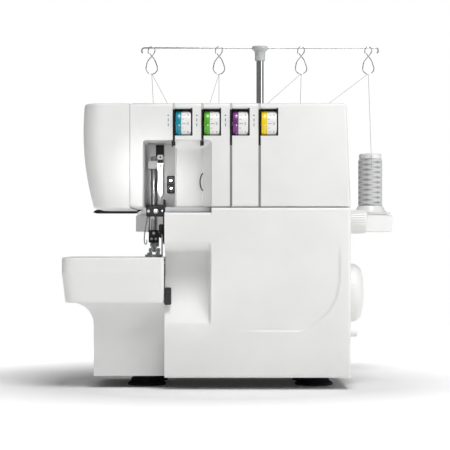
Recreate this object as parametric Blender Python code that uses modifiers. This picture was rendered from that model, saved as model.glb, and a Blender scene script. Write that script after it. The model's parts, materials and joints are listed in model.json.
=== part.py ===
"""Serger overlock machine: casings, frame, drive, needle and looper mechanism, thread stand.

Metres, +Z up. X runs to the operator's right and Y away from the operator.
Every solid is first laid out in the drawing frame, whose X = 0 is the seam between the
extension table and the looper cover, Y = 0 the cover's front face and Z = 0 the bench.
The parent empty "machine_datum" then centres the machine over the world origin.
"""

import math

import bmesh
import bpy
from mathutils import Matrix, Vector

# Fits
GAP = 0.0004          # between pieces that touch
RUN = 0.0005          # radial running clearance
WALL = 0.0025         # moulded casing wall
OVERLAP = 0.001       # how far a joined or cut shape reaches past its neighbour
SHARP_ANGLE = 32      # degrees, over which an edge stays sharp

# Casings
FOOT_HEIGHT = 0.012
BODY_RUN = 0.187      # looper cover, seam to right side
BODY_DEPTH = 0.150
TABLE_TOP = 0.1326
SEAM_HEIGHT = 0.183   # split between looper cover and upper housing
UPPER_HEIGHT = 0.104
HEAD_OVERHANG = 0.034  # upper housing left of the seam
FACE_WIDTH = 0.048
FACE_ROUND = 0.018
UPPER_DRAFT = 0.0045  # the right side leans in by this much at the top
EDGE_ROUND = 0.003

# Looper cover
COVER_DEPTH = 0.034
SCOOP_WIDTH = 0.0465
SCOOP_LOW = 0.0656
SCOOP_HIGH = 0.1375
SCOOP_DEPTH = 0.026
SHOULDER_DROP = 0.005
TIP_RELIEF = 0.0015
HINGE_SETBACK = 0.016
HINGE_RISE = 0.014
HINGE_RADIUS = 0.002

# Extension table and free arm
TABLE_LENGTH = 0.1035
TABLE_HEIGHT = 0.0457
TABLE_FRONT = 0.002
TABLE_DEPTH = 0.104
TABLE_ROUND = 0.010
TABLE_CREASE = 0.0155
TABLE_LEAN = 0.003
TABLE_TAPER = 0.0035
LATCH_WIDTH = 0.0071   # the looper cover's finger lever
LATCH_DEPTH = 0.0045
LATCH_HEIGHT = 0.0175
ARM_LENGTH = 0.0905
ARM_CLEAR = 0.0015
BASE_LEFT = 0.0725    # base block, left of the seam
BASE_FRONT = 0.026
BASE_DEPTH = 0.112
NECK_ROUND = 0.022

# Needle recess in the upper housing
RECESS_LEFT = -0.0215
RECESS_RIGHT = 0.0475
RECESS_TOP = 0.2501
POCKET_RIGHT = 0.0105
POCKET_DEPTH = 0.077
FASCIA_DEPTH = 0.014

# Tension dials
DIAL_COUNT = 4
DIAL_PITCH = 0.0286
DIAL_RADIUS = 0.013
DIAL_WIDTH = 0.0155
DIAL_SETBACK = 0.009
DIAL_HEIGHT = 0.267
DIAL_SPINDLE = 0.002
WINDOW_LEFT = 0.0098
WINDOW_WIDTH = 0.0187
WINDOW_LOW = 0.2544
WINDOW_HIGH = 0.2822
SLOT_WIDTH = 0.0024
SLOT_LOW = 0.2446
GROOVE_DEPTH = 0.001

# Needle, presser and knife
NEEDLE_X = -0.013
NEEDLE_Y = 0.0655
NEEDLE_BAR_RADIUS = 0.0032
NEEDLE_BAR_TOP = 0.2335
CLAMP_LOW = 0.1475
CLAMP_HEIGHT = 0.013
NEEDLE_REACH = 0.020
NEEDLE_SPREAD = 0.0022
NEEDLE_RADIUS = 0.0005
PRESSER_Y = 0.084
PRESSER_RADIUS = 0.003
PRESSER_BAR_LENGTH = 0.104
FOOT_SOLE = 0.0022
KNIFE_X = -0.0034
UPPER_LOOPER = (0.012, 0.069, TABLE_TOP - TABLE_HEIGHT - 0.0149)
LOWER_LOOPER = (-0.006, 0.059, TABLE_TOP - TABLE_HEIGHT - 0.0269)
UPPER_LOOPER_TIP = TABLE_TOP - 0.0051
LOWER_LOOPER_TIP = TABLE_TOP - 0.0151
LOOPER_THICKNESS = 0.0025
LOOPER_SLOT = (0.050, 0.082)
LOOPER_SHAFT = 0.003
PLATE_THICKNESS = 0.002

# Drive
SHAFT_Y = 0.075
SHAFT_HEIGHT = 0.0951
SHAFT_RADIUS = 0.005
WHEEL_RADIUS = 0.030
WHEEL_PROUD = 0.018
BIG_PULLEY = 0.024
SMALL_PULLEY = 0.008
PULLEY_WIDTH = 0.010
BELT_THICKNESS = 0.0018
MOTOR_Y = 0.118
MOTOR_HEIGHT = 0.047
MOTOR_RADIUS = 0.024
MOTOR_LENGTH = 0.060
MOTOR_SHAFT = 0.0025

# Controls on the right side, and the presser lifter at the back
LIFTER_X = -0.026
LIFTER_REACH = 0.058
LIFTER_Z = 0.192
LIFTER_SPINDLE = 0.003
STITCH_Y = 0.060
STITCH_Z = 0.1690
STITCH_RADIUS = 0.0125
STITCH_PROUD = 0.021
STITCH_SPINDLE = 0.003
KNOB_Y = 0.052
KNOB_Z = 0.054
KNOB_RADIUS = 0.0038
KNOB_PROUD = 0.0105
KNOB_SPINDLE = 0.0018
SWITCH_Y = (0.104, 0.118)
SWITCH_Z = (0.048, 0.068)
INLET_Y = (0.122, 0.140)
INLET_Z = (0.046, 0.070)

# Thread stand and telescopic guide
POLE_X = 0.100
POLE_Y = 0.182
POLE_RADIUS = 0.004
SOCKET_RADIUS = 0.0058
SOCKET_LOW = 0.140
SOCKET_TOP = 0.262
POLE_HELD = 0.032
BAR_HEIGHT = 0.3644
BAR_HALF = 0.1285
BAR_RADIUS = 0.0009
EYE_INNER = 0.0457
EYE_OUTER = 0.1205
EYE_DROP = 0.030
EYE_TWIST = 0.0022     # how far the wire has moved back where it crosses itself
PIN_INNER = 0.046
PIN_LEFT = 0.118
PIN_RIGHT = 0.1285
PIN_Y = 0.2455
PIN_RADIUS = 0.0025
DISH_RADIUS = 0.023
TRAY_TOP = 0.1787
TRAY_HEIGHT = 0.0186
STAND_REAR = 0.275
TRAY_RADIUS = 0.0215
TRAY_CORNER = 0.014
TRAY_NECK = 0.120
TRAY_FLARE = 0.055
SPOOL_BASE = 0.1915
SPOOL_RADIUS = 0.0138
SPOOL_WOUND = 0.052
SPOOL_COLLAR = 0.0065

# Derived places in the drawing frame
BODY_LOW = FOOT_HEIGHT
BODY_TOP = SEAM_HEIGHT + UPPER_HEIGHT
UPPER_LOW = SEAM_HEIGHT + GAP
COVER_TOP = SEAM_HEIGHT - GAP
FACE_LEFT = -HEAD_OVERHANG - FACE_WIDTH
TABLE_LOW = TABLE_TOP - TABLE_HEIGHT
ARM_TOP = TABLE_TOP - WALL - ARM_CLEAR
ARM_LOW = TABLE_LOW + ARM_CLEAR
ARM_FRONT = TABLE_FRONT + TABLE_LEAN + WALL + ARM_CLEAR
ARM_BACK = TABLE_FRONT + TABLE_DEPTH - WALL - ARM_CLEAR
HINGE_Z = BODY_LOW + HINGE_RISE
STAND_RIGHT = POLE_X + PIN_RIGHT + DISH_RADIUS
CENTRE_X = (STAND_RIGHT - TABLE_LENGTH) / 2
CENTRE_Y = (STAND_REAR - (DIAL_RADIUS - DIAL_SETBACK)) / 2
PLATE_LEFT = NEEDLE_X - 0.021
PLATE_FRONT = NEEDLE_Y - 0.030
PLATE_BACK = NEEDLE_Y + 0.030
PULLEY_X = BODY_RUN - 0.032
FRAME_LEFT = 0.010
FRAME_RIGHT = PULLEY_X - 0.012
FRAME_WALL = 0.005

machine = bpy.data.collections.new("serger_overlock_machine")
cutters = bpy.data.collections.new("cutters")
paints = {}


# Small tools ---------------------------------------------------------------


for item in list(bpy.data.objects):
    bpy.data.objects.remove(item, do_unlink=True)
datum = bpy.data.objects.new("machine_datum", None)


def set_up():
    bpy.context.scene.collection.children.link(machine)
    bpy.context.scene.collection.children.link(cutters)
    machine.objects.link(datum)
    datum.location = (-CENTRE_X, -CENTRE_Y, 0)


def paint(name, colour, roughness, metallic=0.0):
    made = bpy.data.materials.new(name)
    made.use_nodes = True
    shader = made.node_tree.nodes["Principled BSDF"]
    shader.inputs["Base Color"].default_value = (*colour, 1)
    shader.inputs["Roughness"].default_value = roughness
    shader.inputs["Metallic"].default_value = metallic
    paints[name] = made


def make_paints():
    paint("white_abs", (0.82, 0.82, 0.82), 0.35)
    paint("light_grey_abs", (0.70, 0.70, 0.71), 0.4)
    paint("black_abs", (0.02, 0.02, 0.02), 0.4)
    paint("black_rubber", (0.015, 0.015, 0.015), 0.8)
    paint("cast_alloy", (0.45, 0.46, 0.47), 0.5, 1.0)
    paint("bright_steel", (0.62, 0.62, 0.63), 0.22, 1.0)
    paint("chrome", (0.78, 0.78, 0.79), 0.08, 1.0)
    paint("blue_dial", (0.0, 0.19, 0.25), 0.35)
    paint("green_dial", (0.12, 0.36, 0.02), 0.35)
    paint("purple_dial", (0.11, 0.02, 0.13), 0.35)
    paint("yellow_dial", (0.86, 0.66, 0.0), 0.35)
    paint("silver_thread", (0.45, 0.45, 0.46), 0.6)


def piece(name, data, material, pivot=(0, 0, 0)):
    """A named solid whose origin is at pivot, both in the drawing frame."""
    mesh = data
    if isinstance(data, bmesh.types.BMesh):
        mesh = bpy.data.meshes.new(name)
        bmesh.ops.recalc_face_normals(data, faces=data.faces)
        data.to_mesh(mesh)
        data.free()
    mesh.transform(Matrix.Translation(-Vector(pivot)))
    made = bpy.data.objects.new(name, mesh)
    made.data.materials.append(paints[material])
    made.location = pivot
    made.parent = datum
    machine.objects.link(made)
    return made


def helper(data):
    """A hidden cutter or an addition, in the drawing frame."""
    bmesh.ops.recalc_face_normals(data, faces=data.faces)
    mesh = bpy.data.meshes.new("cutter")
    data.to_mesh(mesh)
    data.free()
    made = bpy.data.objects.new("cutter", mesh)
    made.parent = datum
    made.hide_render = True
    made.display_type = "WIRE"
    cutters.objects.link(made)
    return made


def combine(target, data, operation):
    step = target.modifiers.new(operation.lower(), "BOOLEAN")
    step.operation = operation
    step.object = data if isinstance(data, bpy.types.Object) else helper(data)
    return target


def cut(target, *shapes):
    for shape in shapes:
        combine(target, shape, "DIFFERENCE")
    return target


def fuse(target, *shapes):
    for shape in shapes:
        combine(target, shape, "UNION")
    return target


def block(x, y, z):
    """A box from three (low, high) pairs."""
    made = bmesh.new()
    bmesh.ops.create_cube(made, size=1)
    size = [high - low for low, high in (x, y, z)]
    middle = [(high + low) / 2 for low, high in (x, y, z)]
    bmesh.ops.scale(made, vec=size, verts=made.verts)
    bmesh.ops.translate(made, vec=middle, verts=made.verts)
    return made


def rounded(made, radius, segments=2, along=None, where=None):
    """Rounds the edges that run along an axis, or all of them, and that where() picks by midpoint."""
    chosen = []
    for edge in made.edges:
        way = (edge.verts[1].co - edge.verts[0].co).normalized()
        middle = (edge.verts[1].co + edge.verts[0].co) / 2
        if along is not None and abs(way["xyz".index(along)]) < 0.9:
            continue
        if where is None or where(middle):
            chosen.append(edge)
    bmesh.ops.bevel(made, geom=chosen, offset=radius, segments=segments, profile=0.5, affect="EDGES")
    return made


def rod(centre, radius, length, axis="z", segments=24, end_radius=None):
    """A cylinder or cone that starts at centre and runs length along the axis."""
    made = bmesh.new()
    top = radius if end_radius is None else end_radius
    bmesh.ops.create_cone(
        made, cap_ends=True, segments=segments, radius1=radius, radius2=top, depth=length
    )
    bmesh.ops.translate(made, vec=(0, 0, length / 2), verts=made.verts)
    turn = {"x": Matrix.Rotation(math.pi / 2, 3, "Y"), "y": Matrix.Rotation(-math.pi / 2, 3, "X")}
    if axis in turn:
        bmesh.ops.rotate(made, cent=(0, 0, 0), matrix=turn[axis], verts=made.verts)
    bmesh.ops.translate(made, vec=centre, verts=made.verts)
    return made


def shape_of(carrier, turn=None, place=(0, 0, 0)):
    """The evaluated, welded shape of a passing object, which is then removed."""
    bpy.context.scene.collection.objects.link(carrier)
    bpy.context.view_layer.update()
    graph = bpy.context.evaluated_depsgraph_get()
    mesh = bpy.data.meshes.new_from_object(carrier.evaluated_get(graph))
    bpy.data.objects.remove(carrier)
    made = bmesh.new()
    made.from_mesh(mesh)
    bmesh.ops.remove_doubles(made, verts=made.verts, dist=0.00001)
    if turn:
        bmesh.ops.rotate(made, cent=(0, 0, 0), matrix=turn, verts=made.verts)
    bmesh.ops.translate(made, vec=place, verts=made.verts)
    return made


def turned(profile, centre, axis="z", segments=24):
    """A closed (radius, height) profile turned about an axis through centre."""
    count = len(profile)
    mesh = bpy.data.meshes.new("profile")
    mesh.from_pydata(
        [(radius, 0, height) for radius, height in profile],
        [(i, (i + 1) % count) for i in range(count)
         if profile[i][0] > 0 or profile[(i + 1) % count][0] > 0],
        [],
    )
    carrier = bpy.data.objects.new("profile", mesh)
    screw = carrier.modifiers.new("screw", "SCREW")
    screw.steps = screw.render_steps = segments
    screw.use_merge_vertices = True
    screw.merge_threshold = 0.00001
    turn = Matrix.Rotation(math.pi / 2, 3, "Y") if axis == "x" else None
    return shape_of(carrier, turn, centre)


def outline(loops, low, high, axis="y"):
    """Flat closed outlines filled and thickened from low to high along an axis.

    The points are (x, z) pairs for Y, (x, y) pairs for Z and (y, z) pairs for X.
    """
    curve = bpy.data.curves.new("outline", "CURVE")
    curve.dimensions = "2D"
    curve.fill_mode = "BOTH"
    curve.extrude = (high - low) / 2
    for points in loops:
        spline = curve.splines.new("POLY")
        spline.points.add(len(points) - 1)
        spline.use_cyclic_u = True
        for spot, (a, b) in zip(spline.points, points):
            spot.co = (a, b, 0, 1)
    middle = (high + low) / 2
    turn, place = {
        "x": (Matrix(((0, 0, 1), (1, 0, 0), (0, 1, 0))), (middle, 0, 0)),
        "y": (Matrix(((1, 0, 0), (0, 0, -1), (0, 1, 0))), (0, middle, 0)),
        "z": (None, (0, 0, middle)),
    }[axis]
    made = shape_of(bpy.data.objects.new("outline", curve), turn, place)
    bmesh.ops.dissolve_limit(made, angle_limit=0.001, verts=made.verts, edges=made.edges)
    return made


def wire(name, points, radius, material, pivot=(0, 0, 0), fineness=1):
    """A bent wire or cord along points, as a curve of straight steps."""
    curve = bpy.data.curves.new(name, "CURVE")
    curve.dimensions = "3D"
    curve.bevel_depth = radius
    curve.bevel_resolution = fineness
    curve.use_fill_caps = True
    spline = curve.splines.new("POLY")
    spline.points.add(len(points) - 1)
    for spot, place in zip(spline.points, points):
        spot.co = (*(Vector(place) - Vector(pivot)), 1)
    made = bpy.data.objects.new(name, curve)
    made.data.materials.append(paints[material])
    made.location = pivot
    made.parent = datum
    machine.objects.link(made)
    return made


def arc(centre, radius, start, end, steps):
    """Points of an arc, angles in degrees."""
    turn = [math.radians(start + (end - start) * i / steps) for i in range(steps + 1)]
    return [(centre[0] + radius * math.cos(a), centre[1] + radius * math.sin(a)) for a in turn]


# Casings --------------------------------------------------------------------


def face_left(height):
    """The face cover's left edge: a shallow bow through three heights."""
    low, bulge, top = (SEAM_HEIGHT, 0.0105), (BODY_TOP - 0.025, 0.0), (BODY_TOP, 0.0015)
    total = 0.0
    points = (low, bulge, top)
    for i, (z, value) in enumerate(points):
        share = value
        for j, (other, _) in enumerate(points):
            if j != i:
                share *= (height - other) / (z - other)
        total += share
    return FACE_LEFT + total


def front_slots(target):
    """Dial windows with the thread slots beside them, and the grooves below."""
    for index in range(DIAL_COUNT):
        left = WINDOW_LEFT + index * DIAL_PITCH
        cut(
            target,
            block((left, left + WINDOW_WIDTH), (-OVERLAP, WALL + OVERLAP), (WINDOW_LOW, WINDOW_HIGH)),
            block(
                (left - SLOT_WIDTH / 2, left + SLOT_WIDTH / 2),
                (-OVERLAP, WALL + OVERLAP),
                (SLOT_LOW, BODY_TOP + OVERLAP),
            ),
        )
        if left > RECESS_RIGHT:
            groove = (left - SLOT_WIDTH / 2, left + SLOT_WIDTH / 2)
            cut(target, block(
                groove, (-OVERLAP, GROOVE_DEPTH), (UPPER_LOW - OVERLAP, SLOT_LOW + OVERLAP)
            ))


def upper_block(inset, low):
    """The upper housing's block, taken in by inset, with its right side leaning in."""
    made = block(
        (-HEAD_OVERHANG + inset, BODY_RUN - inset),
        (inset, BODY_DEPTH - inset),
        (low, BODY_TOP - inset),
    )
    for corner in made.verts:
        if corner.co.x > 0 and corner.co.z > SEAM_HEIGHT + UPPER_HEIGHT / 2:
            corner.co.x -= UPPER_DRAFT
    return made


def upper_housing():
    made = piece("upper_housing", rounded(
        upper_block(0, UPPER_LOW), EDGE_ROUND, 2,
        where=lambda m: m.z > BODY_TOP - 0.001 or (m.x > 0 and abs(m.y - BODY_DEPTH / 2) > 0.05),
    ), "white_abs")
    # The hollow leaves a floor over the throat and the walls of the needle recess.
    hollow = helper(upper_block(WALL, UPPER_LOW + WALL))
    keep_pocket = block(
        (RECESS_LEFT - WALL, POCKET_RIGHT + WALL), (0, POCKET_DEPTH + WALL),
        (UPPER_LOW, RECESS_TOP + WALL),
    )
    keep_fascia = block(
        (POCKET_RIGHT, RECESS_RIGHT + WALL), (0, FASCIA_DEPTH + WALL),
        (UPPER_LOW, RECESS_TOP + WALL),
    )
    cut(hollow, keep_pocket, keep_fascia)
    cut(made, hollow)
    cut(made, block(
        (POCKET_RIGHT + 2 * WALL, BODY_RUN - WALL),
        (FASCIA_DEPTH + 2 * WALL, BODY_DEPTH - WALL),
        (UPPER_LOW - OVERLAP, UPPER_LOW + WALL + OVERLAP),
    ))
    cut(made, rounded(block(
        (RECESS_LEFT, POCKET_RIGHT), (-OVERLAP, POCKET_DEPTH), (UPPER_LOW - OVERLAP, RECESS_TOP),
    ), 0.003, 2, "y", lambda m: m.z > RECESS_TOP - 0.001 and m.x < 0))
    cut(made, rounded(block(
        (POCKET_RIGHT - OVERLAP, RECESS_RIGHT), (-OVERLAP, FASCIA_DEPTH),
        (UPPER_LOW - OVERLAP, RECESS_TOP),
    ), 0.003, 2, "y", lambda m: m.z > RECESS_TOP - 0.001 and m.x > POCKET_RIGHT))
    # The needle bar and its take-up rise through the recess ceiling.
    cut(made, block(
        (NEEDLE_X - 0.0065, NEEDLE_X + 0.0120), (NEEDLE_Y - 0.010, NEEDLE_Y + 0.009),
        (RECESS_TOP - OVERLAP, RECESS_TOP + WALL + OVERLAP),
    ))
    front_slots(made)
    # Holes for the presser bar and the lifter's spindle.
    cut(made, rod((NEEDLE_X, PRESSER_Y, UPPER_LOW - OVERLAP), PRESSER_RADIUS + RUN, 0.01, "z", 16))
    cut(made, rod((LIFTER_X, BODY_DEPTH - 0.01, LIFTER_Z), LIFTER_SPINDLE + RUN, 0.02, "y", 16))


def face_cover():
    made = block(
        (FACE_LEFT, -HEAD_OVERHANG - GAP), (0, BODY_DEPTH), (SEAM_HEIGHT - 0.001, BODY_TOP)
    )
    for level in range(1, 6):
        bmesh.ops.bisect_plane(
            made, geom=made.verts[:] + made.edges[:] + made.faces[:],
            plane_co=(0, 0, SEAM_HEIGHT + (BODY_TOP - SEAM_HEIGHT) * level / 6), plane_no=(0, 0, 1),
        )
    for corner in made.verts:
        if corner.co.x < FACE_LEFT + 0.001:
            corner.co.x = face_left(corner.co.z)
    left = -HEAD_OVERHANG - FACE_WIDTH / 2
    rounded(made, FACE_ROUND, 4, "z", lambda m: m.x < left)
    rounded(made, 0.002, 1, None, lambda m: m.z > BODY_TOP - 0.0005)
    solid = piece("face_cover", made, "white_abs")
    inner = block(
        (FACE_LEFT + WALL + 0.013, -HEAD_OVERHANG + OVERLAP), (WALL, BODY_DEPTH - WALL),
        (SEAM_HEIGHT + WALL, BODY_TOP - WALL),
    )
    rounded(inner, FACE_ROUND - 0.006, 3, "z", lambda m: m.x < left)
    cut(solid, inner)


def lower_housing():
    """Right-hand shell behind the looper cover, with the base block and its flared neck."""
    front = COVER_DEPTH + GAP
    made = piece("lower_housing", rounded(
        block((0.0, BODY_RUN), (front, BODY_DEPTH), (BODY_LOW, COVER_TOP)),
        EDGE_ROUND, 2, None, lambda m: m.y > BODY_DEPTH - 0.001 and abs(m.z - BODY_LOW) > 0.01,
    ), "white_abs")
    neck_top = TABLE_LOW - GAP
    neck = [(-BASE_LEFT, BODY_LOW), (-BASE_LEFT, neck_top - NECK_ROUND)]
    neck += arc((-BASE_LEFT - NECK_ROUND, neck_top - NECK_ROUND), NECK_ROUND, 0, 80, 6)
    neck += [(-BASE_LEFT - NECK_ROUND * 0.8, neck_top), (0, neck_top), (0, BODY_LOW)]
    fuse(made, outline([neck], BASE_FRONT, BASE_FRONT + BASE_DEPTH))
    fuse(made, block(
        (-WALL, WALL / 2), (front + OVERLAP, BASE_FRONT + BASE_DEPTH - OVERLAP),
        (BODY_LOW + OVERLAP, neck_top - OVERLAP),
    ))
    # A plinth under the free arm.
    fuse(made, block(
        (-BASE_LEFT, -WALL), (BASE_FRONT + OVERLAP, ARM_BACK - 0.002), (neck_top - OVERLAP, ARM_LOW - GAP)
    ))
    cut(made, block(
        (WALL, BODY_RUN - WALL), (front - OVERLAP, BODY_DEPTH - WALL),
        (BODY_LOW - OVERLAP, COVER_TOP - WALL),
    ))
    cut(made, block(
        (-BASE_LEFT + WALL, 2 * WALL), (BASE_FRONT + WALL, BASE_FRONT + BASE_DEPTH - WALL),
        (BODY_LOW - OVERLAP, neck_top - WALL),
    ))
    cut(made, block((-0.022, WALL + GAP), LOOPER_SLOT, (neck_top - 2 * WALL, ARM_LOW + OVERLAP)))
    cut(made, block(
        (0, 2 * WALL), (front - OVERLAP, LOOPER_SLOT[0] + OVERLAP), (neck_top - 2 * WALL, ARM_LOW + OVERLAP)
    ))
    # Openings into the arm for the looper drive, and up into the head for the needle drive.
    cut(made, block((-OVERLAP, 2 * WALL), LOOPER_SLOT, (ARM_LOW - 0.002, ARM_TOP)))
    cut(made, block(
        (POCKET_RIGHT + 3 * WALL, BODY_RUN - 3 * WALL), (front + 2 * WALL, BODY_DEPTH - 3 * WALL),
        (COVER_TOP - 2 * WALL, COVER_TOP + OVERLAP),
    ))
    # Wall openings on the right: shaft, stitch dial, feed knob, switch and inlet.
    side = BODY_RUN - 0.01
    cut(made, rod((side, SHAFT_Y, SHAFT_HEIGHT), SHAFT_RADIUS + RUN, 0.02, "x", 24))
    cut(made, rod((side, STITCH_Y, STITCH_Z), STITCH_SPINDLE + RUN, 0.02, "x", 16))
    cut(made, rod((side, KNOB_Y, KNOB_Z), KNOB_SPINDLE + RUN, 0.02, "x", 16))
    cut(made, block((side, side + 0.02), SWITCH_Y, SWITCH_Z))
    cut(made, block((side, side + 0.02), INLET_Y, INLET_Z))


def base_tray():
    made = piece("base_tray", rounded(block(
        (-BASE_LEFT + WALL + GAP, BODY_RUN - WALL - GAP),
        (COVER_DEPTH + WALL + GAP, BODY_DEPTH - WALL - GAP),
        (BODY_LOW - 0.0005, BODY_LOW + 0.0025),
    ), 0.003, 2, "z"), "black_abs")
    inset_front = BASE_FRONT + BASE_DEPTH - WALL - GAP
    cut(made, block(
        (-BASE_LEFT - OVERLAP, WALL + GAP), (inset_front, BODY_DEPTH), (0, 2 * BODY_LOW)
    ))
    return made


def feet():
    for side, x in (("left", -0.020), ("right", BODY_RUN - 0.034)):
        for end, y in (("front", 0.062), ("rear", BODY_DEPTH - 0.030)):
            profile = [
                (0, 0), (0.0195, 0), (0.0200, 0.0015), (0.014, 0.006), (0.013, BODY_LOW - 0.0005 - GAP),
                (0, BODY_LOW - 0.0005 - GAP),
            ]
            piece(f"foot_{end}_{side}", turned(profile, (x, y, 0), "z", 20), "black_rubber")


def free_arm():
    made = piece("free_arm", rounded(
        block((-ARM_LENGTH, -GAP), (ARM_FRONT, ARM_BACK), (ARM_LOW, ARM_TOP)), 0.004, 2, "z",
        lambda m: m.x < -0.01,
    ), "light_grey_abs")
    cut(made, block(
        (-ARM_LENGTH + WALL, OVERLAP), (ARM_FRONT + WALL, ARM_BACK - WALL),
        (ARM_LOW + WALL, ARM_TOP - WALL),
    ))
    plate_gap = ((PLATE_LEFT - GAP, OVERLAP), (PLATE_FRONT - GAP, PLATE_BACK + GAP))
    cut(made, block(*plate_gap, (ARM_TOP - 2 * WALL, 1)))
    cut(made, block((-0.022, OVERLAP), LOOPER_SLOT, (ARM_LOW - OVERLAP, ARM_LOW + 2 * WALL)))
    return made


def extension_table():
    crease = TABLE_TOP - TABLE_CREASE
    form = rounded(
        block((-TABLE_LENGTH, -GAP), (TABLE_FRONT, TABLE_FRONT + TABLE_DEPTH), (TABLE_LOW, TABLE_TOP)),
        TABLE_ROUND, 4, "z", lambda m: m.x < -0.01,
    )
    bmesh.ops.bisect_plane(
        form, geom=form.verts[:] + form.edges[:] + form.faces[:],
        plane_co=(0, 0, crease), plane_no=(0, 0, 1),
    )
    for corner in form.verts:
        if corner.co.z > crease + OVERLAP and corner.co.y < TABLE_FRONT + TABLE_ROUND:
            corner.co.y += TABLE_LEAN
        if corner.co.z < crease - OVERLAP and corner.co.x < -TABLE_LENGTH + TABLE_ROUND:
            corner.co.x += TABLE_TAPER
    rounded(form, 0.0015, 1, None, lambda m: m.z > TABLE_TOP - 0.0001 and m.x < -0.002)
    made = piece(
        "extension_table", form, "white_abs",
        (-TABLE_LENGTH / 2, TABLE_FRONT + TABLE_DEPTH / 2, TABLE_LOW),
    )
    cut(made, block(
        (-ARM_LENGTH - ARM_CLEAR, OVERLAP), (ARM_FRONT - ARM_CLEAR, ARM_BACK + ARM_CLEAR),
        (TABLE_LOW - OVERLAP, ARM_TOP + ARM_CLEAR),
    ))
    cut(made, block((PLATE_LEFT - GAP, OVERLAP), (PLATE_FRONT - GAP, PLATE_BACK + GAP), (TABLE_LOW, 1)))


def looper_cover():
    pivot = (BODY_RUN / 2, HINGE_SETBACK, HINGE_Z)
    front_only = lambda m: m.y < 0.001 or m.x > BODY_RUN - 0.001
    made = piece("looper_cover", rounded(
        block((GAP, BODY_RUN), (0, COVER_DEPTH), (BODY_LOW, COVER_TOP)), EDGE_ROUND, 2, None, front_only,
    ), "white_abs", pivot)
    # The hollow, kept clear of a skin round the fabric scoop.
    hollow = helper(block(
        (GAP + WALL, BODY_RUN - WALL), (WALL, COVER_DEPTH + OVERLAP), (BODY_LOW + WALL, COVER_TOP - WALL)
    ))
    cut(hollow, scoop(WALL))
    cut(made, hollow)
    cut(made, scoop(0))
    # The top edge steps down at the shoulder under the needle recess.
    cut(made, block(
        (-OVERLAP, RECESS_RIGHT + GAP), (-OVERLAP, COVER_DEPTH + OVERLAP),
        (COVER_TOP - SHOULDER_DROP, COVER_TOP + OVERLAP),
    ))
    shoulder = COVER_TOP - SHOULDER_DROP
    fuse(made, block((GAP, RECESS_RIGHT), (0.0005, COVER_DEPTH), (shoulder - WALL, shoulder - GAP)))
    # The rear of the top edge is lower, so that it passes under the upper housing as it tips.
    cut(made, block(
        (-OVERLAP, BODY_RUN + OVERLAP), (COVER_DEPTH - 0.010, COVER_DEPTH + OVERLAP),
        (COVER_TOP - TIP_RELIEF, COVER_TOP + OVERLAP),
    ))
    # Room behind the hinge, so that the lower edge swings clear of the base.
    behind = ((HINGE_SETBACK, COVER_DEPTH + OVERLAP), (0, HINGE_Z))
    cut(made, block((WALL, BODY_RUN - WALL), *behind))
    corner = helper(block((-OVERLAP, BODY_RUN + OVERLAP), *behind))
    swing = COVER_DEPTH - HINGE_SETBACK - GAP
    cut(corner, rod((-2 * OVERLAP, HINGE_SETBACK, HINGE_Z), swing, 2 * BODY_RUN, "x", 32))
    cut(made, corner)
    for x in (0.030, BODY_RUN - 0.040):
        ear = rod((x, HINGE_SETBACK, HINGE_Z), 0.0055, 0.010, "x", 16)
        fuse(made, ear, block((x, x + 0.010), (0.001, HINGE_SETBACK), (HINGE_Z - 0.004, HINGE_Z + 0.004)))
    cut(made, rod((0.01, HINGE_SETBACK, HINGE_Z), HINGE_RADIUS + RUN, BODY_RUN, "x", 16))


def scoop(grow):
    """The hollow under the shoulder: deep at its top, running out to nothing at its foot."""
    right = SCOOP_WIDTH + GAP + grow
    rise = SCOOP_HIGH - SCOOP_LOW
    path = [(-0.02, SCOOP_LOW - grow)]
    path += [
        (
            SCOOP_DEPTH * math.sin(math.radians(turn)) + grow,
            SCOOP_LOW - grow + (rise + 2 * grow) * turn / 90,
        )
        for turn in (0, 15, 30, 45, 65, 90)
    ]
    path += [(-0.02, SCOOP_HIGH + grow)]
    return outline([path], -0.01, right, "x")


def cover_hinge():
    """The hinge rod and the two brackets that carry it, which slide right with the cover."""
    made = piece("cover_hinge_rod", rod(
        (0.020, HINGE_SETBACK, HINGE_Z), HINGE_RADIUS, BODY_RUN - 0.040, "x", 16
    ), "bright_steel", (BODY_RUN / 2, HINGE_SETBACK, HINGE_Z))
    for x in (0.045, BODY_RUN - 0.060):
        reach = block((x, x + 0.008), (HINGE_SETBACK - 0.0015, 0.052), (HINGE_Z - 0.0015, HINGE_Z + 0.0015))
        fuse(made, reach)


# Controls ---------------------------------------------------------------------


def tension_dials():
    colours = ("blue", "green", "purple", "yellow")
    for index, colour in enumerate(colours):
        left = WINDOW_LEFT + index * DIAL_PITCH + SLOT_WIDTH / 2 + GAP
        centre = (left, DIAL_SETBACK, DIAL_HEIGHT)
        edge = 0.0008
        bore = DIAL_SPINDLE + RUN
        profile = [
            (bore, 0), (DIAL_RADIUS - edge, 0), (DIAL_RADIUS, edge),
            (DIAL_RADIUS, DIAL_WIDTH - edge), (DIAL_RADIUS - edge, DIAL_WIDTH), (bore, DIAL_WIDTH),
        ]
        piece(f"tension_dial_{colour}", turned(profile, centre, "x", 32), f"{colour}_dial", centre)
    # One spindle carries all four dials, from the housing's inner brackets.
    start = WINDOW_LEFT - 0.004
    run = DIAL_COUNT * DIAL_PITCH
    piece("dial_spindle", rod(
        (start, DIAL_SETBACK, DIAL_HEIGHT), DIAL_SPINDLE, run, "x", 12
    ), "bright_steel")


def stitch_dial():
    start = BODY_RUN + GAP
    centre = (start, STITCH_Y, STITCH_Z)
    profile = [
        (0, -0.012), (STITCH_SPINDLE, -0.012), (STITCH_SPINDLE, 0), (STITCH_RADIUS, 0),
        (STITCH_RADIUS, STITCH_PROUD - 0.002), (STITCH_RADIUS - 0.002, STITCH_PROUD), (0, STITCH_PROUD),
    ]
    piece("stitch_length_dial", turned(profile, centre, "x", 28), "white_abs", centre)


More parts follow.
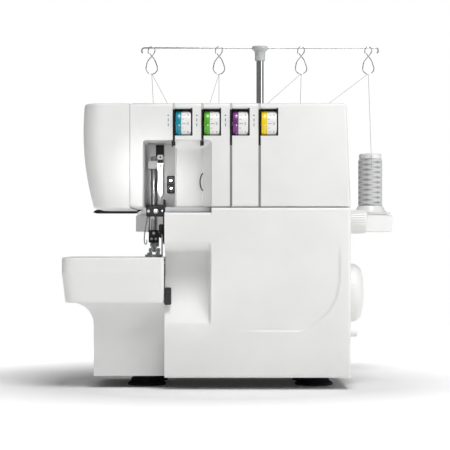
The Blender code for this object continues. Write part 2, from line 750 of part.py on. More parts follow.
def feed_knob():
    centre = (BODY_RUN + GAP, KNOB_Y, KNOB_Z)
    profile = [
        (0, -0.010), (KNOB_SPINDLE, -0.010), (KNOB_SPINDLE, 0), (KNOB_RADIUS, 0),
        (KNOB_RADIUS, KNOB_PROUD - 0.001), (KNOB_RADIUS - 0.001, KNOB_PROUD), (0, KNOB_PROUD),
    ]
    piece("differential_feed_knob", turned(profile, centre, "x", 16), "white_abs", centre)


def switch_and_inlet():
    middle = (sum(SWITCH_Y) / 2, sum(SWITCH_Z) / 2)
    pivot = (BODY_RUN - 0.003, *middle)
    rocker = rod((BODY_RUN - 0.003, middle[0] - 0.006, middle[1]), 0.0085, 0.012, "y", 20)
    solid = piece("power_rocker", rocker, "black_abs", pivot)
    cut(solid, block((BODY_RUN + 0.0015, 1), (0, 1), (0, 1)))
    socket = block(
        (BODY_RUN - 0.018, BODY_RUN - 0.0008),
        (INLET_Y[0] + GAP, INLET_Y[1] - GAP), (INLET_Z[0] + GAP, INLET_Z[1] - GAP),
    )
    made = piece("power_inlet", socket, "black_abs")
    cut(made, rounded(block(
        (BODY_RUN - 0.014, BODY_RUN + OVERLAP),
        (INLET_Y[0] + 0.003, INLET_Y[1] - 0.003), (INLET_Z[0] + 0.003, INLET_Z[1] - 0.003),
    ), 0.0025, 2, "x"))


def cover_catch():
    """Finger lever that frees the looper cover, standing out of the scoop on a short stem."""
    low = TABLE_LOW - 0.0020
    middle = (LATCH_WIDTH / 2, TABLE_FRONT + LATCH_DEPTH / 2, low + LATCH_HEIGHT / 2)
    made = piece("cover_catch", rounded(block(
        (GAP / 2, LATCH_WIDTH), (TABLE_FRONT + OVERLAP, TABLE_FRONT + OVERLAP + LATCH_DEPTH),
        (low, low + LATCH_HEIGHT),
    ), 0.0012, 2, "y"), "black_abs", middle)
    stem_low = low + LATCH_HEIGHT * 0.55
    stem_end = SCOOP_DEPTH * math.sin(math.pi / 2 * (stem_low - SCOOP_LOW) / (SCOOP_HIGH - SCOOP_LOW))
    fuse(made, block(
        (LATCH_WIDTH * 0.3, LATCH_WIDTH * 0.8), (TABLE_FRONT + LATCH_DEPTH, stem_end - GAP),
        (stem_low, low + LATCH_HEIGHT - OVERLAP),
    ))


def presser_lifter():
    pivot = (LIFTER_X, BODY_DEPTH + 0.006, LIFTER_Z)
    tip = LIFTER_X - LIFTER_REACH
    lever = outline([[
        (tip, LIFTER_Z - 0.0112), (tip + 0.004, LIFTER_Z - 0.0083),
        (LIFTER_X - 0.014, LIFTER_Z - 0.0083), (LIFTER_X - 0.005, LIFTER_Z + 0.005),
        (LIFTER_X + 0.005, LIFTER_Z + 0.005), (LIFTER_X + 0.005, LIFTER_Z - 0.004),
        (LIFTER_X - 0.011, LIFTER_Z - 0.0125), (tip + 0.004, LIFTER_Z - 0.0125),
    ]], BODY_DEPTH + 0.003, BODY_DEPTH + 0.010)
    made = piece("presser_lifter", rounded(lever, 0.0008, 1, "y"), "bright_steel", pivot)
    fuse(made, rod((LIFTER_X, BODY_DEPTH - 0.012, LIFTER_Z), LIFTER_SPINDLE, 0.017, "y", 16))


# Needle, presser foot, knives and loopers ----------------------------------------


def needle_parts():
    pivot = (NEEDLE_X, NEEDLE_Y, CLAMP_LOW)
    piece("needle_bar", rod(
        (NEEDLE_X, NEEDLE_Y, CLAMP_LOW + 0.004), NEEDLE_BAR_RADIUS, NEEDLE_BAR_TOP - CLAMP_LOW, "z", 16
    ), "bright_steel", pivot)
    clamp = rounded(block(
        (NEEDLE_X - 0.0052, NEEDLE_X + 0.0052), (NEEDLE_Y - 0.0050, NEEDLE_Y + 0.0050),
        (CLAMP_LOW, CLAMP_LOW + CLAMP_HEIGHT),
    ), 0.0008, 1)
    made = piece("needle_clamp", clamp, "black_abs", pivot)
    cut(made, rod((NEEDLE_X, NEEDLE_Y, CLAMP_LOW + 0.004 - GAP), NEEDLE_BAR_RADIUS + GAP, 0.02, "z", 16))
    for side in (-1, 1):
        x = NEEDLE_X + side * NEEDLE_SPREAD
        hole = rod((x, NEEDLE_Y - 0.001, CLAMP_LOW - OVERLAP), NEEDLE_RADIUS * 2 + 0.0003, 0.004, "z", 12)
        cut(made, hole)
    screw_x = NEEDLE_X + 0.0052 + GAP
    screw = rod((screw_x, NEEDLE_Y, CLAMP_LOW + 0.0075), 0.0028, 0.0026, "x", 16)
    piece("needle_clamp_screw", screw, "black_abs", pivot)
    for side, name in ((-1, "left"), (1, "right")):
        x = NEEDLE_X + side * NEEDLE_SPREAD
        top = CLAMP_LOW + 0.0025
        tip = CLAMP_LOW - NEEDLE_REACH
        profile = [
            (0, top), (2 * NEEDLE_RADIUS, top), (2 * NEEDLE_RADIUS, CLAMP_LOW - 0.004),
            (NEEDLE_RADIUS, CLAMP_LOW - 0.006), (NEEDLE_RADIUS, tip + 0.003), (0, tip),
        ]
        piece(f"needle_{name}", turned(profile, (x, NEEDLE_Y - 0.001, 0), "z", 10), "chrome", pivot)
    takeup = block((NEEDLE_X + 0.0045, NEEDLE_X + 0.0097), (0.0575, 0.0590), (0.195, 0.2385))
    made = piece("needle_thread_takeup", rounded(takeup, 0.001, 2, "y"), "chrome", pivot)
    arm = block((NEEDLE_X - 0.006, NEEDLE_X + 0.007), (0.0585, 0.0725), (0.224, 0.232))
    fuse(made, arm)
    cut(made, rod((NEEDLE_X, NEEDLE_Y, 0.2), NEEDLE_BAR_RADIUS + GAP, 0.05, "z", 16))


def head_bracket():
    """Black block under the head: bush for the needle bar and guide for the presser bar."""
    made = piece("head_bracket", rounded(block(
        (RECESS_LEFT + 0.0007, RECESS_LEFT + 0.0207), (0.0605, POCKET_DEPTH - GAP), (0.1745, 0.1868)
    ), 0.0008, 1), "black_abs")
    cut(made, rod((NEEDLE_X, NEEDLE_Y, 0.17), NEEDLE_BAR_RADIUS + RUN, 0.03, "z", 16))


def pretension_guide():
    """Black plate with two discs on the pocket's right wall."""
    x = POCKET_RIGHT - GAP
    made = piece("needle_thread_guide", rounded(block(
        (x - 0.0092, x - 0.0002), (0.0560, 0.0585), (0.1985, 0.2165)
    ), 0.0008, 1), "black_abs")
    for z in (0.2035, 0.2115):
        fuse(made, rod((x - 0.0047, 0.0535, z), 0.0032, 0.003, "y", 16))
    fuse(made, block((x - 0.002, x - 0.0002), (0.0575, 0.0766), (0.2050, 0.2100)))


def presser_parts():
    pivot = (NEEDLE_X, PRESSER_Y, TABLE_TOP)
    foot_top = TABLE_TOP + 0.0105
    ankle = rounded(block(
        (NEEDLE_X - 0.0045, NEEDLE_X + 0.0045), (PRESSER_Y - 0.0070, PRESSER_Y + 0.0050),
        (foot_top, foot_top + 0.014),
    ), 0.0008, 1)
    made = piece("presser_bar", ankle, "bright_steel", pivot)
    fuse(made, rod((NEEDLE_X, PRESSER_Y, foot_top + 0.006), PRESSER_RADIUS, PRESSER_BAR_LENGTH, "z", 16))
    fuse(made, block(
        (NEEDLE_X - 0.0020, NEEDLE_X + 0.0020), (PRESSER_Y - 0.0065, PRESSER_Y - 0.0015),
        (TABLE_TOP + 0.005, foot_top + 0.001),
    ))
    hinge = (NEEDLE_X, PRESSER_Y - 0.004, TABLE_TOP + 0.0070)
    sole_low = TABLE_TOP + 0.0003
    sole = rounded(block(
        (NEEDLE_X - 0.0085, NEEDLE_X + 0.0077), (NEEDLE_Y - 0.020, PRESSER_Y + 0.008),
        (sole_low, sole_low + FOOT_SOLE),
    ), 0.004, 2, "z", lambda m: m.y < NEEDLE_Y)
    foot = piece("presser_foot", sole, "chrome", hinge)
    for x in (NEEDLE_X - 0.0056, NEEDLE_X + 0.0026):
        fuse(foot, block(
            (x, x + 0.0030), (PRESSER_Y - 0.0075, PRESSER_Y - 0.0005),
            (sole_low + 0.001, TABLE_TOP + 0.0092),
        ))
    cut(foot, block(
        (NEEDLE_X - 0.0056, NEEDLE_X + 0.0056), (NEEDLE_Y - 0.006, NEEDLE_Y + 0.006), (0, 1)
    ))
    pin = rod((NEEDLE_X - 0.0056 - 0.0006, PRESSER_Y - 0.004, TABLE_TOP + 0.0070), 0.0009, 0.0124, "x", 10)
    cut(made, rod((NEEDLE_X - 0.01, PRESSER_Y - 0.004, TABLE_TOP + 0.0070), 0.0013, 0.02, "x", 12))
    fuse(foot, pin)


def needle_plate():
    top = TABLE_TOP - 0.0002
    made = piece("needle_plate", block(
        (PLATE_LEFT, -GAP), (PLATE_FRONT, PLATE_BACK), (top - PLATE_THICKNESS, top)
    ), "bright_steel")
    cut(made, block(
        (NEEDLE_X - 0.0055, NEEDLE_X + 0.0055), (NEEDLE_Y - 0.003, NEEDLE_Y + 0.003), (0, 1)
    ))
    for y in (NEEDLE_Y - 0.0180, NEEDLE_Y + 0.0080):
        for x in (NEEDLE_X - 0.0060, NEEDLE_X + 0.0010):
            cut(made, block((x - 0.0004, x + 0.0036), (y - 0.0004 - 0.0025, y + 0.0104 + 0.0025), (0, 1)))
    cut(made, block((KNIFE_X - 0.0018, OVERLAP), (NEEDLE_Y - 0.020, NEEDLE_Y - 0.004), (0, 1)))


def feed_dog():
    pivot = (NEEDLE_X, NEEDLE_Y, 0.125)
    low = TABLE_TOP - 0.0075
    left = (NEEDLE_X - 0.0060, NEEDLE_X - 0.0034)
    right = (NEEDLE_X + 0.0010, NEEDLE_X + 0.0042)
    front = (NEEDLE_Y - 0.0180, NEEDLE_Y - 0.0076)
    rear = NEEDLE_Y + 0.0184
    made = piece("feed_dog", block((left[0], right[1]), front, (low, low + 0.0035)), "bright_steel", pivot)
    fuse(made, block(left, (NEEDLE_Y - 0.010, rear), (low, low + 0.0030)))
    fuse(made, block(right, (NEEDLE_Y + 0.0082, rear), (low, low + 0.0030)))
    fuse(made, block(
        (NEEDLE_X - 0.0055, NEEDLE_X + 0.0040), (NEEDLE_Y + 0.0120, rear), (low + 0.0005, low + 0.0028)
    ))
    for y in (front[0], NEEDLE_Y + 0.0080):
        for x in (left[0], right[0]):
            fuse(made, block(
                (x + 0.0002, x + 0.0030), (y + 0.0002, y + 0.0100), (low + 0.002, TABLE_TOP - 0.0004)
            ))


def knives():
    pivot = (KNIFE_X, NEEDLE_Y - 0.012, 0.14)
    y = (NEEDLE_Y - 0.0165, NEEDLE_Y - 0.0085)
    holder = rounded(block((KNIFE_X + 0.0004, KNIFE_X + 0.0029), y, (0.146, 0.192)), 0.0006, 1)
    made = piece("upper_knife_holder", holder, "black_abs", pivot)
    cut(made, rod((KNIFE_X - 0.01, NEEDLE_Y - 0.0125, 0.150), 0.0012, 0.02, "x", 10))
    piece("upper_knife", block(
        (KNIFE_X - 0.0012, KNIFE_X), y, (TABLE_TOP + 0.0005, 0.156)
    ), "chrome", pivot)
    piece("lower_knife", block(
        (KNIFE_X + 0.0005, KNIFE_X + 0.0020), (y[0] + 0.0005, y[1] - 0.0005), (0.112, TABLE_TOP - 0.0006)
    ), "bright_steel")


def loopers():
    """Two bent arms on shafts under the needle plate."""
    x, y, z = UPPER_LOOPER
    tip = UPPER_LOOPER_TIP
    made = piece("upper_looper", outline([[
        (x - 0.004, z - 0.006), (x + 0.004, z - 0.006), (x + 0.003, tip - 0.0275),
        (x - 0.0045, tip - 0.0095), (x - 0.0085, tip), (x - 0.0100, tip - 0.001),
        (x - 0.0090, tip - 0.0125), (x - 0.003, tip - 0.0315),
    ]], y, y + LOOPER_THICKNESS), "bright_steel", UPPER_LOOPER)
    fuse(made, rod((x, y - 0.003, z), 0.006, 0.012, "y", 16))
    cut(made, rod((x, y - 0.010, z), LOOPER_SHAFT + RUN, 0.04, "y", 16))
    x, y, z = LOWER_LOOPER
    tip = LOWER_LOOPER_TIP
    made = piece("lower_looper", outline([[
        (x - 0.004, z - 0.006), (x + 0.004, z - 0.006), (x + 0.005, tip - 0.0175),
        (x + 0.003, tip - 0.0035), (x - 0.0095, tip), (x - 0.0105, tip - 0.0015),
        (x - 0.0005, tip - 0.0075), (x - 0.0005, tip - 0.0175),
    ]], y, y + LOOPER_THICKNESS), "bright_steel", LOWER_LOOPER)
    fuse(made, rod((x, y - 0.003, z), 0.006, 0.012, "y", 16))
    cut(made, rod((x, y - 0.010, z), LOOPER_SHAFT + RUN, 0.04, "y", 16))


def main_frame():
    """Cast frame: floor plate, bearing walls, looper shafts and the arm over the needle."""
    low = BODY_LOW + 0.0025 + GAP
    made = piece("main_frame", block(
        (FRAME_LEFT, FRAME_RIGHT), (0.060, BODY_DEPTH - 0.010), (low, low + FRAME_WALL)
    ), "cast_alloy")
    right_wall = (FRAME_RIGHT - FRAME_WALL, FRAME_RIGHT)
    left_wall = (FRAME_LEFT + 0.016, FRAME_LEFT + 0.016 + FRAME_WALL)
    arm_low = RECESS_TOP + WALL - 0.014
    fuse(made, block(right_wall, (0.062, 0.138), (low + 0.001, SHAFT_HEIGHT + 0.035)))
    fuse(made, block(left_wall, (0.064, 0.138), (low + 0.001, arm_low + 0.028)))
    fuse(made, block(
        (NEEDLE_X - 0.010, left_wall[0] + OVERLAP), (0.092, 0.128), (arm_low, arm_low + 0.026)
    ))
    # The post that carries both looper shafts.
    post = (LOWER_LOOPER[1] + 0.040, LOWER_LOOPER[1] + 0.048)
    fuse(made, block((LOWER_LOOPER[0] - 0.006, FRAME_LEFT + 0.010), post, (low, UPPER_LOOPER[2] + 0.006)))
    for x, y, z in (UPPER_LOOPER, LOWER_LOOPER):
        fuse(made, rod((x, y - 0.006, z), LOOPER_SHAFT, post[1] - y + 0.003, "y", 16))
    cut(made, rod((0, SHAFT_Y, SHAFT_HEIGHT), SHAFT_RADIUS + RUN, BODY_RUN, "x", 24))
    cut(made, rod((left_wall[1] + FRAME_WALL, MOTOR_Y, MOTOR_HEIGHT), 0.006, 0.2, "x", 16))


def drive():
    start = FRAME_LEFT + 0.012
    end = BODY_RUN + 0.004
    pivot = (BODY_RUN, SHAFT_Y, SHAFT_HEIGHT)
    shaft = rod((start, SHAFT_Y, SHAFT_HEIGHT), SHAFT_RADIUS, end - start, "x", 20)
    piece("main_shaft", shaft, "bright_steel", pivot)
    bore = SHAFT_RADIUS + GAP
    face = BODY_RUN + 0.0005
    top = WHEEL_PROUD
    profile = [
        (bore, 0), (WHEEL_RADIUS - 0.002, 0), (WHEEL_RADIUS, 0.002), (WHEEL_RADIUS, 0.0085),
        (WHEEL_RADIUS - 0.0035, 0.0145), (0.018, top - 0.0008), (0, top), (0, 0.0045), (bore, 0.0045),
    ]
    piece("handwheel", turned(profile, (face, SHAFT_Y, SHAFT_HEIGHT), "x", 36), "white_abs", pivot)
    lip = 0.0012
    profile = [
        (bore, 0), (BIG_PULLEY + lip, 0), (BIG_PULLEY + lip, 0.001), (BIG_PULLEY, 0.001),
        (BIG_PULLEY, PULLEY_WIDTH - 0.001), (BIG_PULLEY + lip, PULLEY_WIDTH - 0.001),
        (BIG_PULLEY + lip, PULLEY_WIDTH), (bore, PULLEY_WIDTH),
    ]
    piece("shaft_pulley", turned(profile, (PULLEY_X, SHAFT_Y, SHAFT_HEIGHT), "x", 28), "black_abs", pivot)
    motor_end = FRAME_RIGHT - FRAME_WALL - GAP
    made = piece("motor", rod(
        (motor_end - MOTOR_LENGTH, MOTOR_Y, MOTOR_HEIGHT), MOTOR_RADIUS, MOTOR_LENGTH, "x", 24
    ), "cast_alloy")
    cut(made, rod((motor_end - 0.012, MOTOR_Y, MOTOR_HEIGHT), MOTOR_SHAFT + RUN, 0.02, "x", 16))
    # The motor's pulley turned in one with its shaft.
    tail = motor_end - 0.011 - PULLEY_X
    profile = [
        (0, tail), (MOTOR_SHAFT, tail), (MOTOR_SHAFT, 0),
        (SMALL_PULLEY + lip, 0), (SMALL_PULLEY + lip, 0.001), (SMALL_PULLEY, 0.001),
        (SMALL_PULLEY, PULLEY_WIDTH - 0.001), (SMALL_PULLEY + lip, PULLEY_WIDTH - 0.001),
        (SMALL_PULLEY + lip, PULLEY_WIDTH), (0, PULLEY_WIDTH),
    ]
    pivot = (PULLEY_X, MOTOR_Y, MOTOR_HEIGHT)
    piece("motor_pulley", turned(profile, pivot, "x", 20), "black_abs", pivot)


def belt_path(grow):
    """The belt's closed path round both pulleys, as (y, z) pairs grown outwards."""
    big, small = BIG_PULLEY + GAP + grow, SMALL_PULLEY + GAP + grow
    dy, dz = MOTOR_Y - SHAFT_Y, MOTOR_HEIGHT - SHAFT_HEIGHT
    span = math.hypot(dy, dz)
    lean = math.degrees(math.atan2(dz, dy))
    tilt = math.degrees(math.acos((big - small) / span))
    points = arc((SHAFT_Y, SHAFT_HEIGHT), big, lean + tilt, lean + 360 - tilt, 14)
    points += arc((MOTOR_Y, MOTOR_HEIGHT), small, lean - tilt, lean + tilt, 8)
    return points


def drive_belt():
    paths = [belt_path(BELT_THICKNESS), belt_path(0)]
    piece("drive_belt", outline(
        paths, PULLEY_X + 0.0015, PULLEY_X + PULLEY_WIDTH - 0.0015, "x"
    ), "black_rubber")


# Thread stand -------------------------------------------------------------------


def pin_places():
    return [POLE_X + side for side in (-PIN_LEFT, -PIN_INNER, PIN_INNER, PIN_RIGHT)]


def eye_places():
    return [POLE_X + side for side in (-EYE_OUTER, -EYE_INNER, EYE_INNER, EYE_OUTER)]


def spool_stand():
    front = BODY_DEPTH + GAP
    low = TRAY_TOP - TRAY_HEIGHT
    made = piece("spool_stand", rounded(
        outline([tray_path(front, 0)], low, TRAY_TOP, "z"), 0.0015, 1, None,
        lambda m: m.z > TRAY_TOP - 0.0001,
    ), "white_abs")
    cut(made, outline([tray_path(front, WALL)], low - OVERLAP, TRAY_TOP - WALL, "z"))
    fuse(made, rod((POLE_X, POLE_Y, low), SOCKET_RADIUS + 0.004, TRAY_HEIGHT - 0.001, "z", 20))
    cut(made, rod((POLE_X, POLE_Y, low - OVERLAP), SOCKET_RADIUS + GAP, TRAY_HEIGHT + 0.01, "z", 20))
    pin_low = TRAY_TOP - WALL / 2
    for x in pin_places():
        fuse(made, rod((x, PIN_Y, pin_low), PIN_RADIUS, SPOOL_BASE + SPOOL_WOUND - pin_low, "z", 12))


def tray_path(front, inset):
    """The tray's outline in plan: narrow at the machine, wide and round-cornered at the back."""
    left = POLE_X - PIN_LEFT - TRAY_RADIUS + inset
    right = POLE_X + PIN_RIGHT + TRAY_RADIUS - inset
    rear = STAND_REAR - inset
    corner = TRAY_CORNER - inset
    neck = TRAY_NECK / 2 - inset
    path = [(POLE_X - neck, front + inset), (POLE_X + neck, front + inset), (right, front + TRAY_FLARE)]
    path += arc((right - corner, rear - corner), corner, 0, 90, 4)
    path += arc((left + corner, rear - corner), corner, 90, 180, 4)
    return path + [(left, front + TRAY_FLARE)]


def spools():
    """Each spool turns on its pin with the dish that it sits on."""
    bore = PIN_RADIUS + RUN
    for index, x in enumerate(pin_places()):
        base = TRAY_TOP + GAP
        top = SPOOL_BASE + SPOOL_WOUND
        profile = [
            (bore, base), (DISH_RADIUS - 0.003, base), (DISH_RADIUS, base + 0.0022),
            (DISH_RADIUS, base + 0.0032), (0.016, SPOOL_BASE - 0.003), (SPOOL_RADIUS, SPOOL_BASE - 0.001),
            (SPOOL_RADIUS, top), (SPOOL_RADIUS - 0.0012, top + 0.0005),
            (SPOOL_RADIUS - 0.0012, top + SPOOL_COLLAR), (0.004, top + SPOOL_COLLAR),
            (0.004, top + 0.001), (bore, top + 0.001),
        ]
        centre = (x, PIN_Y, 0)
        piece(f"spool_{index + 1}", turned(profile, centre, "z", 24), "silver_thread", centre)


def telescopic_guide():
    bore = POLE_RADIUS + RUN
    socket = turned([
        (bore, SOCKET_LOW), (SOCKET_RADIUS, SOCKET_LOW), (SOCKET_RADIUS, SOCKET_TOP), (bore, SOCKET_TOP),
    ], (POLE_X, POLE_Y, 0), "z", 20)
    piece("pole_socket", socket, "chrome")
    pivot = (POLE_X, POLE_Y, BAR_HEIGHT)
    collar_low = BAR_HEIGHT - 0.0145
    pole_low = SOCKET_TOP - POLE_HELD
    piece("upper_pole", rod(
        (POLE_X, POLE_Y, pole_low), POLE_RADIUS, collar_low + 0.006 - pole_low, "z", 20
    ), "chrome", pivot)
    profile = [
        (0, collar_low + 0.0065), (POLE_RADIUS + GAP, collar_low + 0.0065),
        (POLE_RADIUS + GAP, collar_low), (0.0055, collar_low), (0.0062, BAR_HEIGHT - 0.003),
        (0.0090, BAR_HEIGHT - 0.001), (0.0090, BAR_HEIGHT + 0.0018), (0, BAR_HEIGHT + 0.0018),
    ]
    collar = piece("guide_collar", turned(profile, (POLE_X, POLE_Y, 0), "z", 20), "light_grey_abs", pivot)
    cut(collar, rod((POLE_X - 0.02, POLE_Y, BAR_HEIGHT), BAR_RADIUS + GAP, 0.04, "x", 10))
    # The cross wire, its ends curled down.
    curl = 0.0032
    right = arc((POLE_X + BAR_HALF, BAR_HEIGHT - curl), curl, 90, -60, 5)
    left = arc((POLE_X - BAR_HALF, BAR_HEIGHT - curl), curl, 240, 90, 5)
    wire("guide_bar", [(x, POLE_Y, z) for x, z in left + right], BAR_RADIUS, "chrome", pivot)
    for index, x in enumerate(eye_places()):
        thread_eye(f"thread_eye_{index + 1}", x, pivot)


def thread_eye(name, x, pivot):
    """A wire hook over the bar that crosses itself and opens into a round eye below."""
    reach = BAR_RADIUS * 2 + 0.0005
    small, large = 0.0038, 0.0066
    top = BAR_HEIGHT - small + reach
    low = BAR_HEIGHT - EYE_DROP + large
    cross = (top + low) / 2 + 0.002
    front = POLE_Y - reach
    back = front + EYE_TWIST
    bend = [(-0.9, -0.9), (-1.05, 0.1), (-0.5, 0.8), (0.5, 0.8), (1.05, 0.1), (0.7, -1.1)]
    points = [(x + small * across, front, top + small * up) for across, up in bend]
    points.append((x, front, cross))
    ring = arc((x, low), large, 150, 390, 12)
    points += [(a, front + EYE_TWIST * i / 12, b) for i, (a, b) in enumerate(ring)]
    points += [(x, back, cross), (x - small * 0.55, back, cross + 0.0032)]
    wire(name, points, 0.0006, "chrome", pivot)


def smooth_rounds():
    """Smooth shading on every solid, with sharp edges wherever faces meet at over SHARP_ANGLE."""
    for made in machine.objects:
        if made.type == "MESH":
            made.data.shade_smooth()
            made.data.set_sharp_from_angle(angle=math.radians(SHARP_ANGLE))


def build():
    set_up()
    make_paints()
    upper_housing()
    face_cover()
    lower_housing()
    base_tray()
    feet()
    free_arm()
    extension_table()
    looper_cover()
    cover_hinge()
    tension_dials()
    stitch_dial()
    feed_knob()
    switch_and_inlet()
    cover_catch()
    presser_lifter()
    needle_parts()
    head_bracket()
    pretension_guide()
    presser_parts()
    needle_plate()
    feed_dog()
    knives()
    loopers()
    main_frame()
    drive()
    drive_belt()
    spool_stand()
    spools()
    telescopic_guide()
    smooth_rounds()


build()
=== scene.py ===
import json
import math

import bmesh
import bpy
from mathutils import Matrix, Vector

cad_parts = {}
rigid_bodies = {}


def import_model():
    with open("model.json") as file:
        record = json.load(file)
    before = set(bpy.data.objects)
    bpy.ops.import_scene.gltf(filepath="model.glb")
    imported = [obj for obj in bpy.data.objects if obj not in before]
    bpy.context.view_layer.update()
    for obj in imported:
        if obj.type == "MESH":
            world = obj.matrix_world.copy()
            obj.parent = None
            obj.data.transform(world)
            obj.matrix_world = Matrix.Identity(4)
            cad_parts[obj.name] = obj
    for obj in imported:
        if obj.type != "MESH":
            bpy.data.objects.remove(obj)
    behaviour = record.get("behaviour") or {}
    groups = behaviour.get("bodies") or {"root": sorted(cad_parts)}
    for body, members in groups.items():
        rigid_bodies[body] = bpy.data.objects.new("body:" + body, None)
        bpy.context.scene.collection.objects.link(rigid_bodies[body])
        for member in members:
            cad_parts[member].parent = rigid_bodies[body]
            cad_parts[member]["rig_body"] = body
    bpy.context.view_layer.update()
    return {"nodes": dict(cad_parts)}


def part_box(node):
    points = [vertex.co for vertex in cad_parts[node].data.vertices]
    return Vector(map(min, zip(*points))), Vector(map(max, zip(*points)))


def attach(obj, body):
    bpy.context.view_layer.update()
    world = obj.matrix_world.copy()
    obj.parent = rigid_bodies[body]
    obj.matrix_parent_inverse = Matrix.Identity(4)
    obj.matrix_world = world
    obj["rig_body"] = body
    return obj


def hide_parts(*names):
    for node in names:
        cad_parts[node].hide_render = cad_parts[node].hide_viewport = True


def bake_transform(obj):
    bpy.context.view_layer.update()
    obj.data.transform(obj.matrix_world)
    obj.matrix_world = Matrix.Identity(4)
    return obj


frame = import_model()
scene = bpy.context.scene
nodes = frame["nodes"]
print("frame loaded")

seam = Vector((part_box("looper_cover")[0].x - 0.0004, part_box("looper_cover")[0].y, 0))


# every place below is in mm, from the seam beside the looper cover and its front face
def at(x, y, z):
    return Vector((x / 1000, y / 1000, z / 1000)) + seam


def linear(code):
    values = [int(code[i:i + 2], 16) / 255 for i in (1, 3, 5)]
    return (*[v / 12.92 if v < 0.04045 else ((v + 0.055) / 1.055) ** 2.4 for v in values], 1)


def addNode(tree, kind, sockets=None, **settings):
    made = tree.nodes.new("ShaderNode" + kind)
    for name, value in settings.items():
        setattr(made, name, value)
    for name, value in (sockets or {}).items():
        if isinstance(value, bpy.types.NodeSocket):
            tree.links.new(value, made.inputs[name])
        else:
            made.inputs[name].default_value = value
    return made


# materials


def newMaterial(name, colour, roughness, metallic=0.0, ior=None, coat=0.0):
    made = bpy.data.materials.new(name)
    made.use_nodes = True
    tree = made.node_tree
    shader = tree.nodes["Principled BSDF"]
    shader.inputs["Base Color"].default_value = linear(colour)
    shader.inputs["Roughness"].default_value = roughness
    shader.inputs["Metallic"].default_value = metallic
    if ior:
        shader.inputs["IOR"].default_value = ior
    if coat:
        shader.inputs["Coat Weight"].default_value = coat
        shader.inputs["Coat Roughness"].default_value = 0.08
    coords = addNode(tree, "TexCoord")
    return made, tree, shader, coords.outputs["Object"]


def mixColour(tree, factor, first, second):
    made = addNode(tree, "Mix", data_type="RGBA")
    for index, value in ((0, factor), (6, first), (7, second)):
        if isinstance(value, bpy.types.NodeSocket):
            tree.links.new(value, made.inputs[index])
        else:
            made.inputs[index].default_value = value
    return made.outputs[2]


def spread(tree, value, low, high, fromLow=0.0, fromHigh=1.0):
    made = addNode(tree, "MapRange", {
        "Value": value, "From Min": fromLow, "From Max": fromHigh, "To Min": low, "To Max": high})
    return made.outputs["Result"]


def mouldedPlastic(name, colour, darker, roughness=0.36, grain=0.35, depth=0.00002, coat=0.0):
    # ABS from a spark-eroded mould: a fine pebble in the gloss, and barely any change of tone
    made, tree, shader, place = newMaterial(name, colour, roughness, ior=1.53, coat=coat)
    pebble = addNode(tree, "TexNoise", {"Vector": place, "Scale": 1000 / grain / 4, "Detail": 2.0})
    flow = addNode(tree, "TexNoise", {"Vector": place, "Scale": 14.0, "Detail": 3.0, "Roughness": 0.6})
    tone = spread(tree, flow.outputs["Fac"], 0.0, 1.0, 0.35, 0.65)
    tree.links.new(mixColour(tree, tone, linear(darker), linear(colour)), shader.inputs["Base Color"])
    rough = spread(tree, pebble.outputs["Fac"], roughness - 0.05, roughness + 0.07, 0.3, 0.7)
    tree.links.new(rough, shader.inputs["Roughness"])
    bump = addNode(tree, "Bump", {
        "Height": pebble.outputs["Fac"], "Strength": 0.35, "Distance": depth})
    tree.links.new(bump.outputs["Normal"], shader.inputs["Normal"])
    return made


def groundSteel(name, colour, roughness, lay, stretch=30.0, spacing=0.25):
    # steel ground along one way: fine parallel scratches that draw the highlight out across them
    made, tree, shader, place = newMaterial(name, colour, roughness, 1.0)
    scale = [1.0 / stretch if axis == lay else 1.0 for axis in "xyz"]
    along = addNode(tree, "Mapping", {"Vector": place, "Scale": scale})
    scratch = addNode(tree, "TexNoise", {
        "Vector": along.outputs["Vector"], "Scale": 1000 / spacing / 2, "Detail": 3.0})
    smear = addNode(tree, "TexNoise", {"Vector": place, "Scale": 60.0, "Detail": 2.0})
    rough = spread(tree, scratch.outputs["Fac"], roughness - 0.07, roughness + 0.12, 0.3, 0.7)
    tree.links.new(rough, shader.inputs["Roughness"])
    tone = spread(tree, smear.outputs["Fac"], 0.0, 1.0, 0.3, 0.7)
    shade = tuple(v * 0.82 for v in linear(colour)[:3]) + (1,)
    tree.links.new(mixColour(tree, tone, shade, linear(colour)), shader.inputs["Base Color"])
    bump = addNode(tree, "Bump", {"Height": scratch.outputs["Fac"], "Strength": 0.2, "Distance": 0.00001})
    tree.links.new(bump.outputs["Normal"], shader.inputs["Normal"])
    return made


def chromePlate(name, colour="#DADCDE"):
    # bright nickel-chrome on wire and tube: mirror-like, with a faint haze where fingers touch it
    made, tree, shader, place = newMaterial(name, colour, 0.07, 1.0)
    haze = addNode(tree, "TexNoise", {"Vector": place, "Scale": 90.0, "Detail": 4.0})
    tree.links.new(spread(tree, haze.outputs["Fac"], 0.04, 0.16, 0.35, 0.7), shader.inputs["Roughness"])
    tone = spread(tree, haze.outputs["Fac"], 0.0, 1.0, 0.3, 0.7)
    tree.links.new(mixColour(tree, tone, linear("#C9CBCE"), linear(colour)), shader.inputs["Base Color"])
    return made


def castAlloy(name):
    # bead-blasted aluminium die casting: dull grey with an even fine grain
    made, tree, shader, place = newMaterial(name, "#A9ABAD", 0.5, 1.0)
    grit = addNode(tree, "TexNoise", {"Vector": place, "Scale": 900.0, "Detail": 2.0})
    cloud = addNode(tree, "TexNoise", {"Vector": place, "Scale": 25.0, "Detail": 3.0})
    tree.links.new(spread(tree, grit.outputs["Fac"], 0.42, 0.62, 0.3, 0.7), shader.inputs["Roughness"])
    tone = spread(tree, cloud.outputs["Fac"], 0.0, 1.0, 0.3, 0.7)
    tree.links.new(mixColour(tree, tone, linear("#8E9093"), linear("#B4B6B8")), shader.inputs["Base Color"])
    bump = addNode(tree, "Bump", {"Height": grit.outputs["Fac"], "Strength": 0.5, "Distance": 0.00005})
    tree.links.new(bump.outputs["Normal"], shader.inputs["Normal"])
    return made


